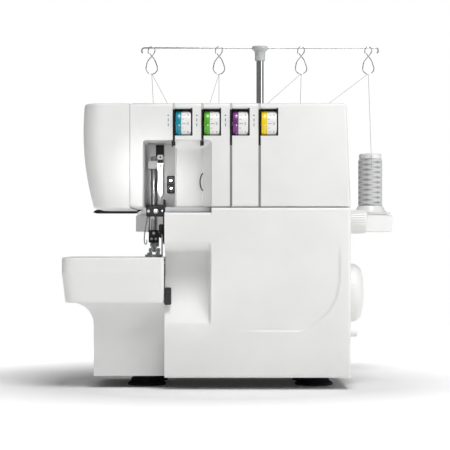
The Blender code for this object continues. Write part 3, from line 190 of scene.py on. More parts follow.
def mouldedRubber(name):
    # nitrile rubber: near black, no gloss, with a dusty bloom in its grain
    made, tree, shader, place = newMaterial(name, "#161616", 0.82)
    grain = addNode(tree, "TexNoise", {"Vector": place, "Scale": 700.0, "Detail": 3.0})
    dust = addNode(tree, "TexNoise", {"Vector": place, "Scale": 40.0, "Detail": 4.0})
    tone = spread(tree, dust.outputs["Fac"], 0.0, 1.0, 0.4, 0.75)
    tree.links.new(mixColour(tree, tone, linear("#131313"), linear("#242423")), shader.inputs["Base Color"])
    tree.links.new(spread(tree, grain.outputs["Fac"], 0.7, 0.92, 0.3, 0.7), shader.inputs["Roughness"])
    bump = addNode(tree, "Bump", {"Height": grain.outputs["Fac"], "Strength": 0.6, "Distance": 0.00008})
    tree.links.new(bump.outputs["Normal"], shader.inputs["Normal"])
    return made


def woundThread(name, colour, creviceShade):
    # polyester thread cross-wound on a tube: crossing ribs at two opposite slants, with a silky sheen, and
    # painted shade in the crevices between the ribs
    made, tree, shader, place = newMaterial(name, colour, 0.5)
    layout = addNode(tree, "UVMap", uv_map="wind")
    ribs = []
    for slant in (1.0, -1.0):  # threads 0.35 mm apart are drawn 0.9 mm apart, or they would not show
        turnedMap = addNode(tree, "Mapping", {
            "Vector": layout.outputs["UV"], "Rotation": (0, 0, math.radians(12 * slant))})
        wave = addNode(tree, "TexWave", {
            "Vector": turnedMap.outputs["Vector"], "Scale": 1000 / 0.9 / 20, "Distortion": 0.6,
            "Detail": 2.0, "Detail Scale": 3.0}, bands_direction="Y")
        ribs.append(wave.outputs["Fac"])
    both = addNode(tree, "Math", {0: ribs[0], 1: ribs[1]}, operation="MAXIMUM")
    # the darker grey where the ribs dip is painted shade in the crevices
    tree.links.new(mixColour(tree, both.outputs[0], linear(creviceShade), linear(colour)),
                   shader.inputs["Base Color"])
    shader.inputs["Sheen Weight"].default_value = 0.3
    bump = addNode(tree, "Bump", {"Height": both.outputs[0], "Strength": 0.8, "Distance": 0.0002})
    tree.links.new(bump.outputs["Normal"], shader.inputs["Normal"])
    return made


whiteAbs = mouldedPlastic("whiteAbsSatin", "#F2F2F1", "#EDEDEC", 0.4)
# light grey for the grey parts, also as painted shade on the chamfers, the groove strip and the gap under
# the head
greyAbsAndPaintedShade = mouldedPlastic("lightGreyAbsAndPaintedShade", "#D3D4D5", "#CBCCCD", 0.42)
glossWhite = mouldedPlastic("whiteAbsPolished", "#F4F4F2", "#F0F0EE", 0.24, coat=0.2)
# black nylon for the black parts, also lining the thread slots as painted shade
blackAbsAndSlotShade = mouldedPlastic("blackNylonAndSlotShade", "#1B1B1C", "#141415", 0.42, grain=0.5, depth=0.00004)
# matt near-black for the take-up's stop, and as painted shade in troughs, slots, vents and screw recesses
mattBlackAndVoidShade = mouldedPlastic("mattBlackAbsAndVoidShade", "#0F0F10", "#0B0B0C", 0.6)
# a mid grey that paints the shade inside the thread grooves
grooveShadeGrey = mouldedPlastic("paintedGrooveShade", "#8E9092", "#828486", 0.5)
smokeAbs = mouldedPlastic("printedGreyInk", "#6E7073", "#63656A", 0.5)
rubber = mouldedRubber("nitrileRubber")
alloy = castAlloy("beadBlastedAlloy")
steelUp = groundSteel("groundSteelUpright", "#C4C5C7", 0.27, "z")
steelAcross = groundSteel("groundSteelAcross", "#C4C5C7", 0.27, "x")
plateSteel = groundSteel("brushedPlateSteel", "#CFD0D1", 0.24, "y")
blackSteel = groundSteel("blackOxideSteel", "#3A3B3D", 0.34, "z")
chrome = chromePlate("brightChrome")
# the second grey is the painted crevice shade between the windings
thread = woundThread("polyesterThreadWound", "#D6D6D7", "#8F9092")
ringColours = {
    "blue": ("#0E93A8", "#0B8498"), "green": ("#62BE22", "#55AC1B"),
    "purple": ("#84308A", "#73297A"), "yellow": ("#FBDD10", "#EFCD08"),
}
rings = {key: mouldedPlastic(key + "AbsGloss", *pair, 0.28, coat=0.3) for key, pair in ringColours.items()}
print("materials made")

cadLooks = {
    whiteAbs: ("upper_housing", "face_cover", "lower_housing", "looper_cover", "extension_table",
               "spool_stand",
               "handwheel", "stitch_length_dial", "differential_feed_knob"),
    greyAbsAndPaintedShade: ("free_arm", "guide_collar"),
    blackAbsAndSlotShade: ("base_tray", "cover_catch", "needle_clamp", "needle_clamp_screw", "head_bracket",
               "power_rocker",
               "power_inlet", "shaft_pulley", "motor_pulley", "upper_knife_holder", "needle_thread_guide"),
    rubber: ("foot_front_left", "foot_front_right", "foot_rear_left", "foot_rear_right", "drive_belt"),
    alloy: ("main_frame", "motor"),
    steelUp: ("needle_bar", "presser_bar", "lower_knife", "upper_looper", "lower_looper",
              "needle_thread_takeup"),
    steelAcross: ("main_shaft", "dial_spindle", "cover_hinge_rod", "presser_lifter"),
    plateSteel: ("needle_plate", "feed_dog"),
    chrome: ("needle_left", "needle_right", "presser_foot", "upper_knife", "upper_pole", "pole_socket",
             "guide_bar", "thread_eye_1", "thread_eye_2", "thread_eye_3", "thread_eye_4"),
    rings["blue"]: ("tension_dial_blue",), rings["green"]: ("tension_dial_green",),
    rings["purple"]: ("tension_dial_purple",), rings["yellow"]: ("tension_dial_yellow",),
    thread: ("spool_1", "spool_2", "spool_3", "spool_4"),
}
bodyOf = {name: item["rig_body"] for name, item in nodes.items()}
for look, names in cadLooks.items():
    for name in names:
        nodes[name].data.materials.clear()
        nodes[name].data.materials.append(look)


# making pieces


def finish(name, shape, look, body, replaced=(), angle=35, bevel=None, merge=True):
    if merge:
        bmesh.ops.remove_doubles(shape, verts=shape.verts, dist=0.000002)
    mesh = bpy.data.meshes.new(name)
    shape.to_mesh(mesh)
    shape.free()
    made = bpy.data.objects.new(name, mesh)
    scene.collection.objects.link(made)
    for entry in look if isinstance(look, tuple) else (look,):
        mesh.materials.append(entry)
    mesh.shade_smooth()
    mesh.set_sharp_from_angle(angle=math.radians(angle))
    if bevel:  # a small radius on every sharp edge, as a mould or a tumbler leaves
        rounded = made.modifiers.new("edgeRadius", "BEVEL")
        rounded.width = bevel / 1000
        rounded.segments = 2
        rounded.limit_method = "ANGLE"
        rounded.angle_limit = math.radians(angle)
        rounded.harden_normals = True
        rounded.use_clamp_overlap = True
    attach(made, body)
    if replaced:
        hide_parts(*replaced)
    return made


def softened(node, bevel, look, name=None, angle=35):
    # a copy of the node's own solid, welded and given edge radii
    shape = bmesh.new()
    shape.from_mesh(nodes[node].data)
    bmesh.ops.remove_doubles(shape, verts=shape.verts, dist=0.00001)
    bmesh.ops.dissolve_limit(shape, angle_limit=math.radians(1), verts=shape.verts, edges=shape.edges)
    return finish(name or node + "Shell", shape, look, bodyOf[node], (node,), angle, bevel)


def block(x, y, z, bevel=0.0, steps=2, shape=None):
    shape = shape or bmesh.new()
    size = [(pair[1] - pair[0]) / 1000 for pair in (x, y, z)]
    middle = at(*[(pair[0] + pair[1]) / 2 for pair in (x, y, z)])
    made = bmesh.ops.create_cube(shape, size=1)["verts"]
    bmesh.ops.scale(shape, vec=size, verts=made)
    bmesh.ops.translate(shape, vec=middle, verts=made)
    if bevel:
        edges = list({edge for corner in made for edge in corner.link_edges})
        bmesh.ops.bevel(shape, geom=edges, offset=bevel / 1000, segments=steps, profile=0.5,
                        affect="EDGES", material=-1)
    return shape


turnsTo = {"x": Matrix.Rotation(math.pi / 2, 3, "Y"), "y": Matrix.Rotation(-math.pi / 2, 3, "X"),
           "z": Matrix()}


def lathe(profile, place, axis="z", steps=48, shape=None):
    # a (radius, height) outline in mm spun about an axis through place
    shape = shape or bmesh.new()
    line = [shape.verts.new((radius / 1000, 0, height / 1000)) for radius, height in profile]
    edges = [shape.edges.new(pair) for pair in zip(line, line[1:])]
    spun = bmesh.ops.spin(shape, geom=line + edges, cent=(0, 0, 0), axis=(0, 0, 1), angle=2 * math.pi,
                          steps=steps, use_merge=True)
    grown = set(line)
    grown.update(item for item in spun["geom_last"] if isinstance(item, bmesh.types.BMVert))
    found = list(grown)
    while found:  # everything joined to the outline is the turned piece
        for edge in found.pop().link_edges:
            for corner in edge.verts:
                if corner not in grown:
                    grown.add(corner)
                    found.append(corner)
    grown = list(grown)
    bmesh.ops.remove_doubles(shape, verts=grown, dist=0.000002)
    grown = [corner for corner in grown if corner.is_valid]
    faces = list({face for corner in grown for face in corner.link_faces})
    bmesh.ops.recalc_face_normals(shape, faces=faces)
    if axis != "z":
        bmesh.ops.rotate(shape, cent=(0, 0, 0), matrix=turnsTo[axis].to_3x3(), verts=grown)
    bmesh.ops.translate(shape, vec=at(*place), verts=grown)
    return shape


def addTurned(target, piece, turn, centre):
    # a piece turned about the line along X through centre, then added to the target
    bmesh.ops.rotate(piece, cent=at(*centre), matrix=Matrix.Rotation(turn, 3, "X"), verts=piece.verts)
    passing = bpy.data.meshes.new("passing")
    piece.to_mesh(passing)
    piece.free()
    target.from_mesh(passing)
    bpy.data.meshes.remove(passing)


def backedSheet(shape, back):
    # an open sheet's rim is drawn back to a plane, and closed there
    rim = [item for item in shape.edges if item.is_boundary]
    grown = bmesh.ops.extrude_edge_only(shape, edges=rim)["geom"]
    for corner in [item for item in grown if isinstance(item, bmesh.types.BMVert)]:
        corner.co.y = at(0, back, 0).y
    bmesh.ops.holes_fill(shape, edges=[item for item in shape.edges if item.is_boundary], sides=0)
    bmesh.ops.recalc_face_normals(shape, faces=shape.faces)
    return shape


def meshOf(draft):
    # the finished mesh of a curve, text or modified object
    bpy.context.view_layer.update()
    return bpy.data.meshes.new_from_object(draft.evaluated_get(bpy.context.evaluated_depsgraph_get()))


def wire(name, points, radius, look, body, replaced=(), kind="POLY", fineness=3):
    curve = bpy.data.curves.new(name, "CURVE")
    curve.dimensions = "3D"
    curve.bevel_depth = radius / 1000
    curve.bevel_resolution = fineness
    curve.use_fill_caps = True
    curve.resolution_u = 6
    line = curve.splines.new(kind)
    line.points.add(len(points) - 1)
    for corner, place in zip(line.points, points):
        corner.co = (*at(*place), 1)
    if kind == "NURBS":
        line.order_u = 4
        line.use_endpoint_u = True
    draft = bpy.data.objects.new(name + "Draft", curve)
    scene.collection.objects.link(draft)
    mesh = meshOf(draft)
    bpy.data.objects.remove(draft)
    shape = bmesh.new()
    shape.from_mesh(mesh)
    bmesh.ops.remove_doubles(shape, verts=shape.verts, dist=0.00001)
    bmesh.ops.recalc_face_normals(shape, faces=shape.faces)
    return finish(name, shape, look, body, replaced, angle=50)


# camera, floor and light
view = {"distance": 1600, "eyeHeight": 145, "centre": 61, "lens": 128, "shiftUp": 0.0444}
eye = bpy.data.cameras.new("camera")
eye.lens = view["lens"]
eye.sensor_width = 36
eye.shift_y = view["shiftUp"]
eye.clip_end = 50
camera = bpy.data.objects.new("camera", eye)
camera.location = at(view["centre"], -view["distance"], view["eyeHeight"])
camera.rotation_euler = (math.pi / 2, 0, 0)
scene.collection.objects.link(camera)
scene.camera = camera
scene.view_settings.view_transform = "Standard"

sky = bpy.data.worlds.new("studio")
sky.use_nodes = True
skyTree = sky.node_tree
lit = skyTree.nodes["Background"]
lit.inputs["Strength"].default_value = 0.19
seen = addNode(skyTree, "Background", {"Color": (1, 1, 1, 1), "Strength": 1.0})
path = addNode(skyTree, "LightPath")
chosen = addNode(skyTree, "MixShader", {0: path.outputs["Is Camera Ray"], 1: lit.outputs[0],
                                        2: seen.outputs[0]})
lit.inputs["Color"].default_value = (1, 1, 1, 1)
skyTree.links.new(chosen.outputs[0], skyTree.nodes["World Output"].inputs["Surface"])
scene.world = sky

lamps = {  # place from the seam in mm, size in m, watts
    "keyRight": ((1300, -800, 600), 0.8, 5),
    "top": ((340, -520, 1450), 0.7, 12.5),
    "fillLeft": ((-1100, -900, 500), 1.2, 0.1),
}
spots = {  # place and target from the seam in mm, width of the beam in degrees, softness, watts
    "recessSpot": ((-30, -700, 245), (-4, 60, 212), 6.5, 0.5, 1.3),
    "pocketSpot": ((-50, -700, 250), (-13, 77, 216), 3.8, 0.8, 12.0),
    "scoopSpot": ((40, -700, 60), (24, 8, 88), 4.2, 0.8, 4.0),
}


def addLamp(name, kind, place, target, power):
    data = bpy.data.lights.new(name, kind)
    data.energy = power
    lamp = bpy.data.objects.new(name, data)
    lamp.location = at(*place)
    lamp.rotation_euler = (at(*target) - lamp.location).to_track_quat("-Z", "Y").to_euler()
    scene.collection.objects.link(lamp)
    return data


for name, (place, size, power) in lamps.items():
    addLamp(name, "AREA", place, (60, 60, 130), power).size = size
for name, (place, target, width, softness, power) in spots.items():
    data = addLamp(name, "SPOT", place, target, power)
    data.spot_size = math.radians(width)
    data.spot_blend = softness
    data.shadow_soft_size = 0.03

floorShape = bmesh.new()
bmesh.ops.create_grid(floorShape, x_segments=2, y_segments=2, size=1.1)
floorMesh = bpy.data.meshes.new("floor")
floorShape.to_mesh(floorMesh)
floorShape.free()
floor = bpy.data.objects.new("floor", floorMesh)
scene.collection.objects.link(floor)
paper, paperTree, paperShader, paperPlace = newMaterial("whitePaperSweep", "#F8F8F8", 0.9)
paperShader.inputs["Emission Color"].default_value = (1, 1, 1, 1)
# the sweep glows a little away from the machine, so that only the contact shadow stays dark
middle = addNode(paperTree, "VectorMath", {0: paperPlace, 1: at(60, 75, 0)}, operation="DISTANCE")
glow = spread(paperTree, middle.outputs["Value"], 0.02, 0.75, 0.17, 0.42)
paperTree.links.new(glow, paperShader.inputs["Emission Strength"])
floorMesh.materials.append(paper)
print("studio set")

# casings


def sheet(across, up, place, shape=None):
    # a grid whose columns and rows are given, each corner put where place(u, v) says
    shape = shape or bmesh.new()
    made = bmesh.ops.create_grid(shape, x_segments=len(across) - 1, y_segments=len(up) - 1, size=1)["verts"]
    spots = {}
    for corner in made:
        i = round((corner.co.x + 1) / 2 * (len(across) - 1))
        j = round((corner.co.y + 1) / 2 * (len(up) - 1))
        spots[corner] = (across[i], up[j])
    for corner, (u, v) in spots.items():
        corner.co = at(*place(u, v))
    return shape


def steps(low, high, count):
    return [low + (high - low) * i / count for i in range(count + 1)]


def smooth(value, low, high):
    share = min(max((value - low) / (high - low), 0), 1)
    return share * share * (3 - 2 * share)


def thicken(made, depth):
    wall = made.modifiers.new("wall", "SOLIDIFY")
    wall.thickness = depth / 1000
    wall.offset = -1
    wall.use_even_offset = False
    return made


coverForm = {"left": 0.4, "right": 187.0, "low": 12.0, "top": 182.6, "shoulder": 177.6, "stepAt": 47.5,
             "edge": 3.0, "scoopRight": 46.6, "scoopLow": 65.6, "scoopHigh": 137.5, "scoopDepth": 26.0,
             "lipTop": 149.5, "panel": 1.3, "back": 33.8, "hingeY": 16.0, "hingeZ": 26.0, "swing": 17.4}
creasePath = [(74, 59), (136, 59), (148, 64.5), (157, 71.5), (166, 80), (172.5, 92), (175.6, 108),
              (176, 120), (175.5, 148)]


def scoopDepth(z):
    c = coverForm
    if z <= c["scoopLow"] or z >= c["lipTop"]:
        return 0.0
    if z <= c["scoopHigh"]:
        rise = (z - c["scoopLow"]) / (c["scoopHigh"] - c["scoopLow"])
        return c["scoopDepth"] * math.sin(rise * math.pi / 2)
    under = (c["lipTop"] - z) / (c["lipTop"] - c["scoopHigh"])
    return c["scoopDepth"] * (1 - math.sqrt(max(0.0, 1 - under * under)))


def creaseStep(x, z):
    # how deep the raised band's inner side stands, from the nearest stretch of the crease
    best = None
    for (ax, az), (bx, bz) in zip(creasePath, creasePath[1:]):
        run = Vector((bx - ax, bz - az))
        share = min(max(Vector((x - ax, z - az)).dot(run) / run.length_squared, 0), 1)
        away = Vector((x - ax - run.x * share, z - az - run.y * share))
        side = run.x * away.y - run.y * away.x
        if best is None or away.length < best[0]:
            best = (away.length, side)
    inside = 1 if best[1] > 0 else -1
    fade = smooth(x, 70, 100) * (1 - smooth(z, 126, 150))
    step = 1 - smooth(-inside * best[0], -0.9, 0.9)
    return coverForm["panel"] * step * fade * (1 - smooth(best[0], 8, 60) * 0.85)


def coverFront(x, z):
    c = coverForm
    top = c["top"] if x > c["stepAt"] else c["shoulder"]
    depth = scoopDepth(z) * (1 - smooth(x, c["scoopRight"] - 2.2, c["scoopRight"] + 0.6))
    depth += creaseStep(x, z)
    for gap in (c["right"] - x, top - z, z - c["low"]):
        if gap < c["edge"]:
            depth += c["edge"] - math.sqrt(max(0.0, c["edge"] ** 2 - (c["edge"] - gap) ** 2))
    return depth


def makeCover():
    c = coverForm
    edge = [0, 0.12, 0.4, 0.9, 1.6, 2.3, 3.0]
    across = [c["left"], 1.6, 4.5] + steps(8, 40, 11)[:-1] + steps(40, 44, 2)[:-1] + steps(44, 47.4, 8)
    across += [c["stepAt"] + 0.02] + steps(49, 128, 30) + steps(129.5, 179, 50)[:-1] + [179, 181.5]
    across += [c["right"] - gap for gap in reversed(edge)]
    up = [c["low"] + gap for gap in edge] + steps(19, 52, 12) + steps(53.5, 63, 12) + steps(64.5, 137, 50)
    up += steps(137.5, 149.5, 16) + [151, 154, 160, 166, 171, 174.6]
    up += [c["shoulder"] - gap for gap in reversed(edge[:-1])]
    up += [179.6] + [c["top"] - gap for gap in reversed(edge[:-1])]
    shape = bmesh.new()

    def place(x, z):
        if x <= c["stepAt"] and z > c["shoulder"]:
            z = c["shoulder"]
        return (x, coverFront(x, z), z)
    sheet(across, up, place, shape)
    bmesh.ops.dissolve_degenerate(shape, dist=0.000001, edges=shape.edges)
    bmesh.ops.remove_doubles(shape, verts=shape.verts, dist=0.000002)
    rim = [edgeItem for edgeItem in shape.edges if edgeItem.is_boundary]
    grown = bmesh.ops.extrude_edge_only(shape, edges=rim)["geom"]
    for corner in [item for item in grown if isinstance(item, bmesh.types.BMVert)]:
        place = (corner.co - seam) * 1000
        back = c["back"]
        if place.z < c["low"] + 0.5 and 1 < place.x < c["right"] - 3.5:
            back = c["hingeY"]
        elif place.z < c["hingeZ"]:
            back = c["hingeY"] + math.sqrt(max(0, c["swing"] ** 2 - (c["hingeZ"] - place.z) ** 2))
        corner.co.y = at(0, max(back, place.y + 1), 0).y
        if place.z > c["shoulder"] - 1:
            corner.co.z -= 0.0012  # the top slopes back, so that it tips clear of the housing
    bmesh.ops.recalc_face_normals(shape, faces=shape.faces)
    if sum(face.normal.y * face.calc_area() for face in shape.faces) > 0:
        bmesh.ops.reverse_faces(shape, faces=shape.faces)
    made = finish("looperCoverShell", shape, whiteAbs, "cover", ("looper_cover",), 40)
    thicken(made, 2.0)
    return made


makeCover()
for x in (30, 147):  # ears round the hinge rod
    ear = lathe([(2.6, 0), (5.4, 0), (5.4, 10), (2.6, 10), (2.6, 0)], (x, 16, 26), "x", 32)
    block((x, x + 10), (2.1, 11.2), (22, 30), shape=ear)
    finish("coverEar%d" % x, ear, whiteAbs, "cover", bevel=0.3)
ribs = bmesh.new()
for z in (60, 112, 158):  # stiffening ribs across the inside
    block((52 if z > 60 else 6, 184.5), (3.2, 8.0), (z, z + 1.6), 0.3, 1, ribs)
for x in (70, 110, 150):
    block((x, x + 1.6), (3.2, 7.0), (34, 176), 0.3, 1, ribs)
finish("coverRibs", ribs, whiteAbs, "cover", merge=False)
print("looper cover done")

faceForm = {"right": -34.4, "low": 182.0, "top": 287.0, "depth": 150.0, "corner": 18.0}


def faceLeft(z):
    # the head's left side leans out to its widest at the dials, as one smooth curve through three points
    points = ((183.0, -71.5), (262.0, -82.0), (287.0, -80.5))
    total = 0.0
    for i, (height, value) in enumerate(points):
        for j, (other, _) in enumerate(points):
            if j != i:
                value *= (z - other) / (height - other)
        total += value
    return total


def roundEnd(share, left, right, front, back, corner, inset=0.0):
    # a point of the plan outline that runs from the right end of the front, round the left end, to the back
    quarter = corner * math.pi / 2
    left, front, back = left + inset, front + inset, back - inset
    corner = max(corner - inset, 0.2)
    straight = right - left - corner
    across = back - front - 2 * corner
    total = 2 * straight + across + 2 * quarter
    place = share * total
    if place <= straight:
        return right - place, front
    place -= straight
    if place <= quarter:
        turn = place / quarter * math.pi / 2
        return left + corner - corner * math.sin(turn), front + corner - corner * math.cos(turn)
    place -= quarter
    if place <= across:
        return left, front + corner + place
    place -= across
    if place <= quarter:
        turn = place / quarter * math.pi / 2
        return left + corner - corner * math.cos(turn), back - corner + corner * math.sin(turn)
    return left + corner + place - quarter, back


def makeFace():
    f = faceForm
    shape = bmesh.new()
    heights = [f["low"], f["low"] + 0.25, f["low"] + 0.8] + steps(184, 283, 22)
    heights += [284.2, 285.2, 286.0, 286.6, 286.92, 287.0]

    def place(share, z):
        gap = min(f["top"] - z, 2.6)
        inset = 2.6 - math.sqrt(max(0.0, 2.6 ** 2 - (2.6 - gap) ** 2))
        inset += 0.8 - math.sqrt(max(0.0, 0.64 - (0.8 - min(z - f["low"], 0.8)) ** 2))
        x, y = roundEnd(share, faceLeft(z), f["right"], 0.0, f["depth"], f["corner"], inset)
        return (x, y, z)
    sheet(steps(0, 1, 96), heights, place, shape)
    bmesh.ops.remove_doubles(shape, verts=shape.verts, dist=0.000002)
    for level in (f["top"], f["low"]):
        rim = [item for item in shape.edges if item.is_boundary
               and all(abs((corner.co.z - seam.z) * 1000 - level) < 0.01 for corner in item.verts)]
        ends = [corner for item in rim for corner in item.verts]
        closing = [corner for corner in set(ends) if ends.count(corner) == 1]
        rim.append(shape.edges.new(closing))
        bmesh.ops.contextual_create(shape, geom=rim)
    side = [item for item in shape.edges if item.is_boundary]
    bmesh.ops.holes_fill(shape, edges=side, sides=0)
    bmesh.ops.recalc_face_normals(shape, faces=shape.faces)
    finish("faceCoverShell", shape, whiteAbs, "machine", ("face_cover",), 40)


makeFace()

tableForm = {"left": -103.5, "right": -0.4, "front": 2.0, "back": 106.0, "low": 86.9, "top": 132.6,
             "corner": 10.0, "crease": 117.1, "lean": 3.0, "under": 2.0, "taper": 3.5}


def makeTable():
    t = tableForm
    heights = [t["low"], t["low"] + 0.2, t["low"] + 0.8] + steps(90, 115.5, 6) + [116.4, 116.9, 117.1,
                                                                                  117.3, 117.8, 119]
    heights += steps(121, 130.6, 4) + [131.2, 131.8, 132.3, 132.54, 132.6]

    def form(z):
        gap = t["top"] - z
        inset = 1.8 - math.sqrt(max(0.0, 1.8 ** 2 - (1.8 - gap) ** 2)) if gap < 1.8 else 0
        left = t["left"] + t["taper"] * (1 - (z - t["low"]) / (t["crease"] - t["low"])) * (z < t["crease"])
        front = t["front"] + 0.4 * (1 - smooth(z, t["low"], t["low"] + 1))
        front += t["lean"] * max(0, z - t["crease"]) / (t["top"] - t["crease"])
        front += t["under"] * max(0, t["crease"] - z) / (t["crease"] - t["low"])
        return left, front, inset
    outer = bmesh.new()

    def place(share, z):
        left, front, inset = form(z)
        return (*roundEnd(share, left, t["right"], front, t["back"], t["corner"], inset), z)
    sheet(steps(0, 1, 80), heights, place, outer)
    # the top is one face, with a notch left round the needle plate
    rim = [item for item in outer.edges if item.is_boundary
           and all(abs((corner.co.z - seam.z) * 1000 - t["top"]) < 0.01 for corner in item.verts)]
    ends = [corner for item in rim for corner in item.verts]
    first, last = sorted([corner for corner in set(ends) if ends.count(corner) == 1], key=lambda v: v.co.y)
    low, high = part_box("needle_plate")
    notch = [(t["right"], low.y - 0.0004), (low.x - 0.0004, low.y - 0.0004),
             (low.x - 0.0004, high.y + 0.0004),
             (t["right"], high.y + 0.0004)]
    chain = [first]
    for x, y in notch:
        near = x == t["right"]
        chain.append(outer.verts.new((at(x, 0, 0).x if near else x, y, at(0, 0, t["top"]).z)))
    chain.append(last)
    joined = [outer.edges.new(pair) for pair in zip(chain, chain[1:])]
    bmesh.ops.contextual_create(outer, geom=rim + joined)
    bmesh.ops.recalc_face_normals(outer, faces=outer.faces)
    if sum(face.normal.z * face.calc_area() for face in outer.faces) < 0:
        bmesh.ops.reverse_faces(outer, faces=outer.faces)
    made = finish("extensionTableShell", outer, whiteAbs, "table", ("extension_table",), 30)
    thicken(made, 2.2)


makeTable()
print("face cover and table done")

# upper housing, dial windows and thread slots
softened("upper_housing", 0.5, whiteAbs)

recess = {"left": 10.6, "right": 47.3, "top": 249.9, "low": 183.6, "depth": 13.4, "blend": 11.0}


def fasciaDepth(x, z):
    r = recess
    depth = r["depth"]
    for gap in (r["right"] - x, r["top"] - z):
        if gap < r["blend"]:
            depth = min(depth, r["depth"] * math.sqrt(max(0.0, 1 - (1 - gap / r["blend"]) ** 2)) + 0.2)
    return depth


closer = (9.5, 8, 6.5, 5, 3.8, 2.8, 2, 1.3, 0.8, 0.4, 0.15,
          0)  # rows crowd together where the panel curves out
fascia = sheet(steps(recess["left"], recess["right"] - 11, 8) + [recess["right"] - gap for gap in closer],
               steps(recess["low"], recess["top"] - 11, 12) + [recess["top"] - gap for gap in closer],
               lambda x, z: (x, fasciaDepth(x, z), z))
backedSheet(fascia, recess["depth"] + 0.3)
finish("fasciaPanel", fascia, whiteAbs, "machine", angle=40)
# a grey strip on the panel's left edge, painted shade of the groove that carries the needle threads down
finish("fasciaGrooveShade", block((11.4, 12.3), (12.6, 13.2), (184, 246), 0.2), greyAbsAndPaintedShade, "machine")

dials = {"count": 4, "first": 9.8, "pitch": 28.6, "window": 18.7, "low": 254.4, "high": 282.2, "slot": 2.4,
         "y": 9.0, "z": 267.0, "ringRun": 5.6, "ringRadius": 13.0, "wheelRadius": 12.9}
dialNames = ("blue", "green", "purple", "yellow")
framesAndSlotShade, printed, channel, chamferShadePlugs = bmesh.new(), bmesh.new(), bmesh.new(), bmesh.new()
for index in range(dials["count"]):
    left = dials["first"] + dials["pitch"] * index
    right = left + dials["window"]
    edge = left + dials["slot"] / 2
    block((right - 1.5, right - 0.1), (0.15, 2.4), (dials["low"] + 0.1, dials["high"] - 0.1), 0.15, 1,
          framesAndSlotShade)
    block((edge + 0.1, right - 1.6), (1.2, 2.4), (dials["high"] - 1.9, dials["high"] - 0.1), 0.15, 1,
          framesAndSlotShade)
    # the slot is lined black down to its foot, as painted shade for its depth, and closed in pale grey
    # above the window, painted shade of the chamfer there
    block((left - 1.1, left + 1.1), (1.3, 3.3), (244.8, 280.6), 0.2, 1, framesAndSlotShade)
    block((left - 1.1, left + 1.1), (0.5, 3.3), (280.9, 286.2), 0.3, 2, chamferShadePlugs)
    # a lead-in above the window, standing for a sloping face: a flat block whose grey is painted shade from
    # the housing's edge
    block((edge + 0.3, right - 0.2), (0.3, 2.2), (281.2, 282.1), 0.2, 1, chamferShadePlugs)
    # a trough behind the dial and behind the thread slot, matt black as painted shade inside the housing
    block((left - 2.2, right + 1.0), (22.4, 23.0), (252.5, 284.2), 0, 1, channel)
    block((left - 2.2, left - 1.4), (2.7, 22.4), (244.5, 284.2), 0, 1, channel)
    block((right + 0.2, right + 1.0), (2.7, 22.4), (252.5, 284.2), 0, 1, channel)
    block((left - 1.3, left + 1.3), (6.4, 7.2), (244.8, 253.9), 0, 1, channel)
    # printed reminders of the thread's way: a dot and two dashes left of the slot
    for z, wide, high in ((274.6, 1.4, 1.2), (270.0, 0.7, 3.0), (265.2, 0.7, 3.0)):
        block((left - 5.6 - wide / 2, left - 5.6 + wide / 2), (-0.05, 0.04), (z - high / 2, z + high / 2),
              0, 1, printed)
finish("windowFramesAndSlotShade", framesAndSlotShade, blackAbsAndSlotShade, "machine")
finish("dialTroughs", channel, mattBlackAndVoidShade, "machine", merge=False)
finish("slotPlugsChamferShade", chamferShadePlugs, greyAbsAndPaintedShade, "machine", merge=False)
# the two right-hand thread grooves run down to the looper cover, lined in mid grey as painted shade for
# their depth
grooves = bmesh.new()
for index in (2, 3):
    middle = dials["first"] + dials["pitch"] * index
    block((middle - 1.15, middle + 1.15), (0.45, 0.97), (183.6, 244.7), 0.1, 1, grooves)
finish("threadGrooves", grooves, grooveShadeGrey, "machine")
finish("threadMarks", printed, smokeAbs, "machine")

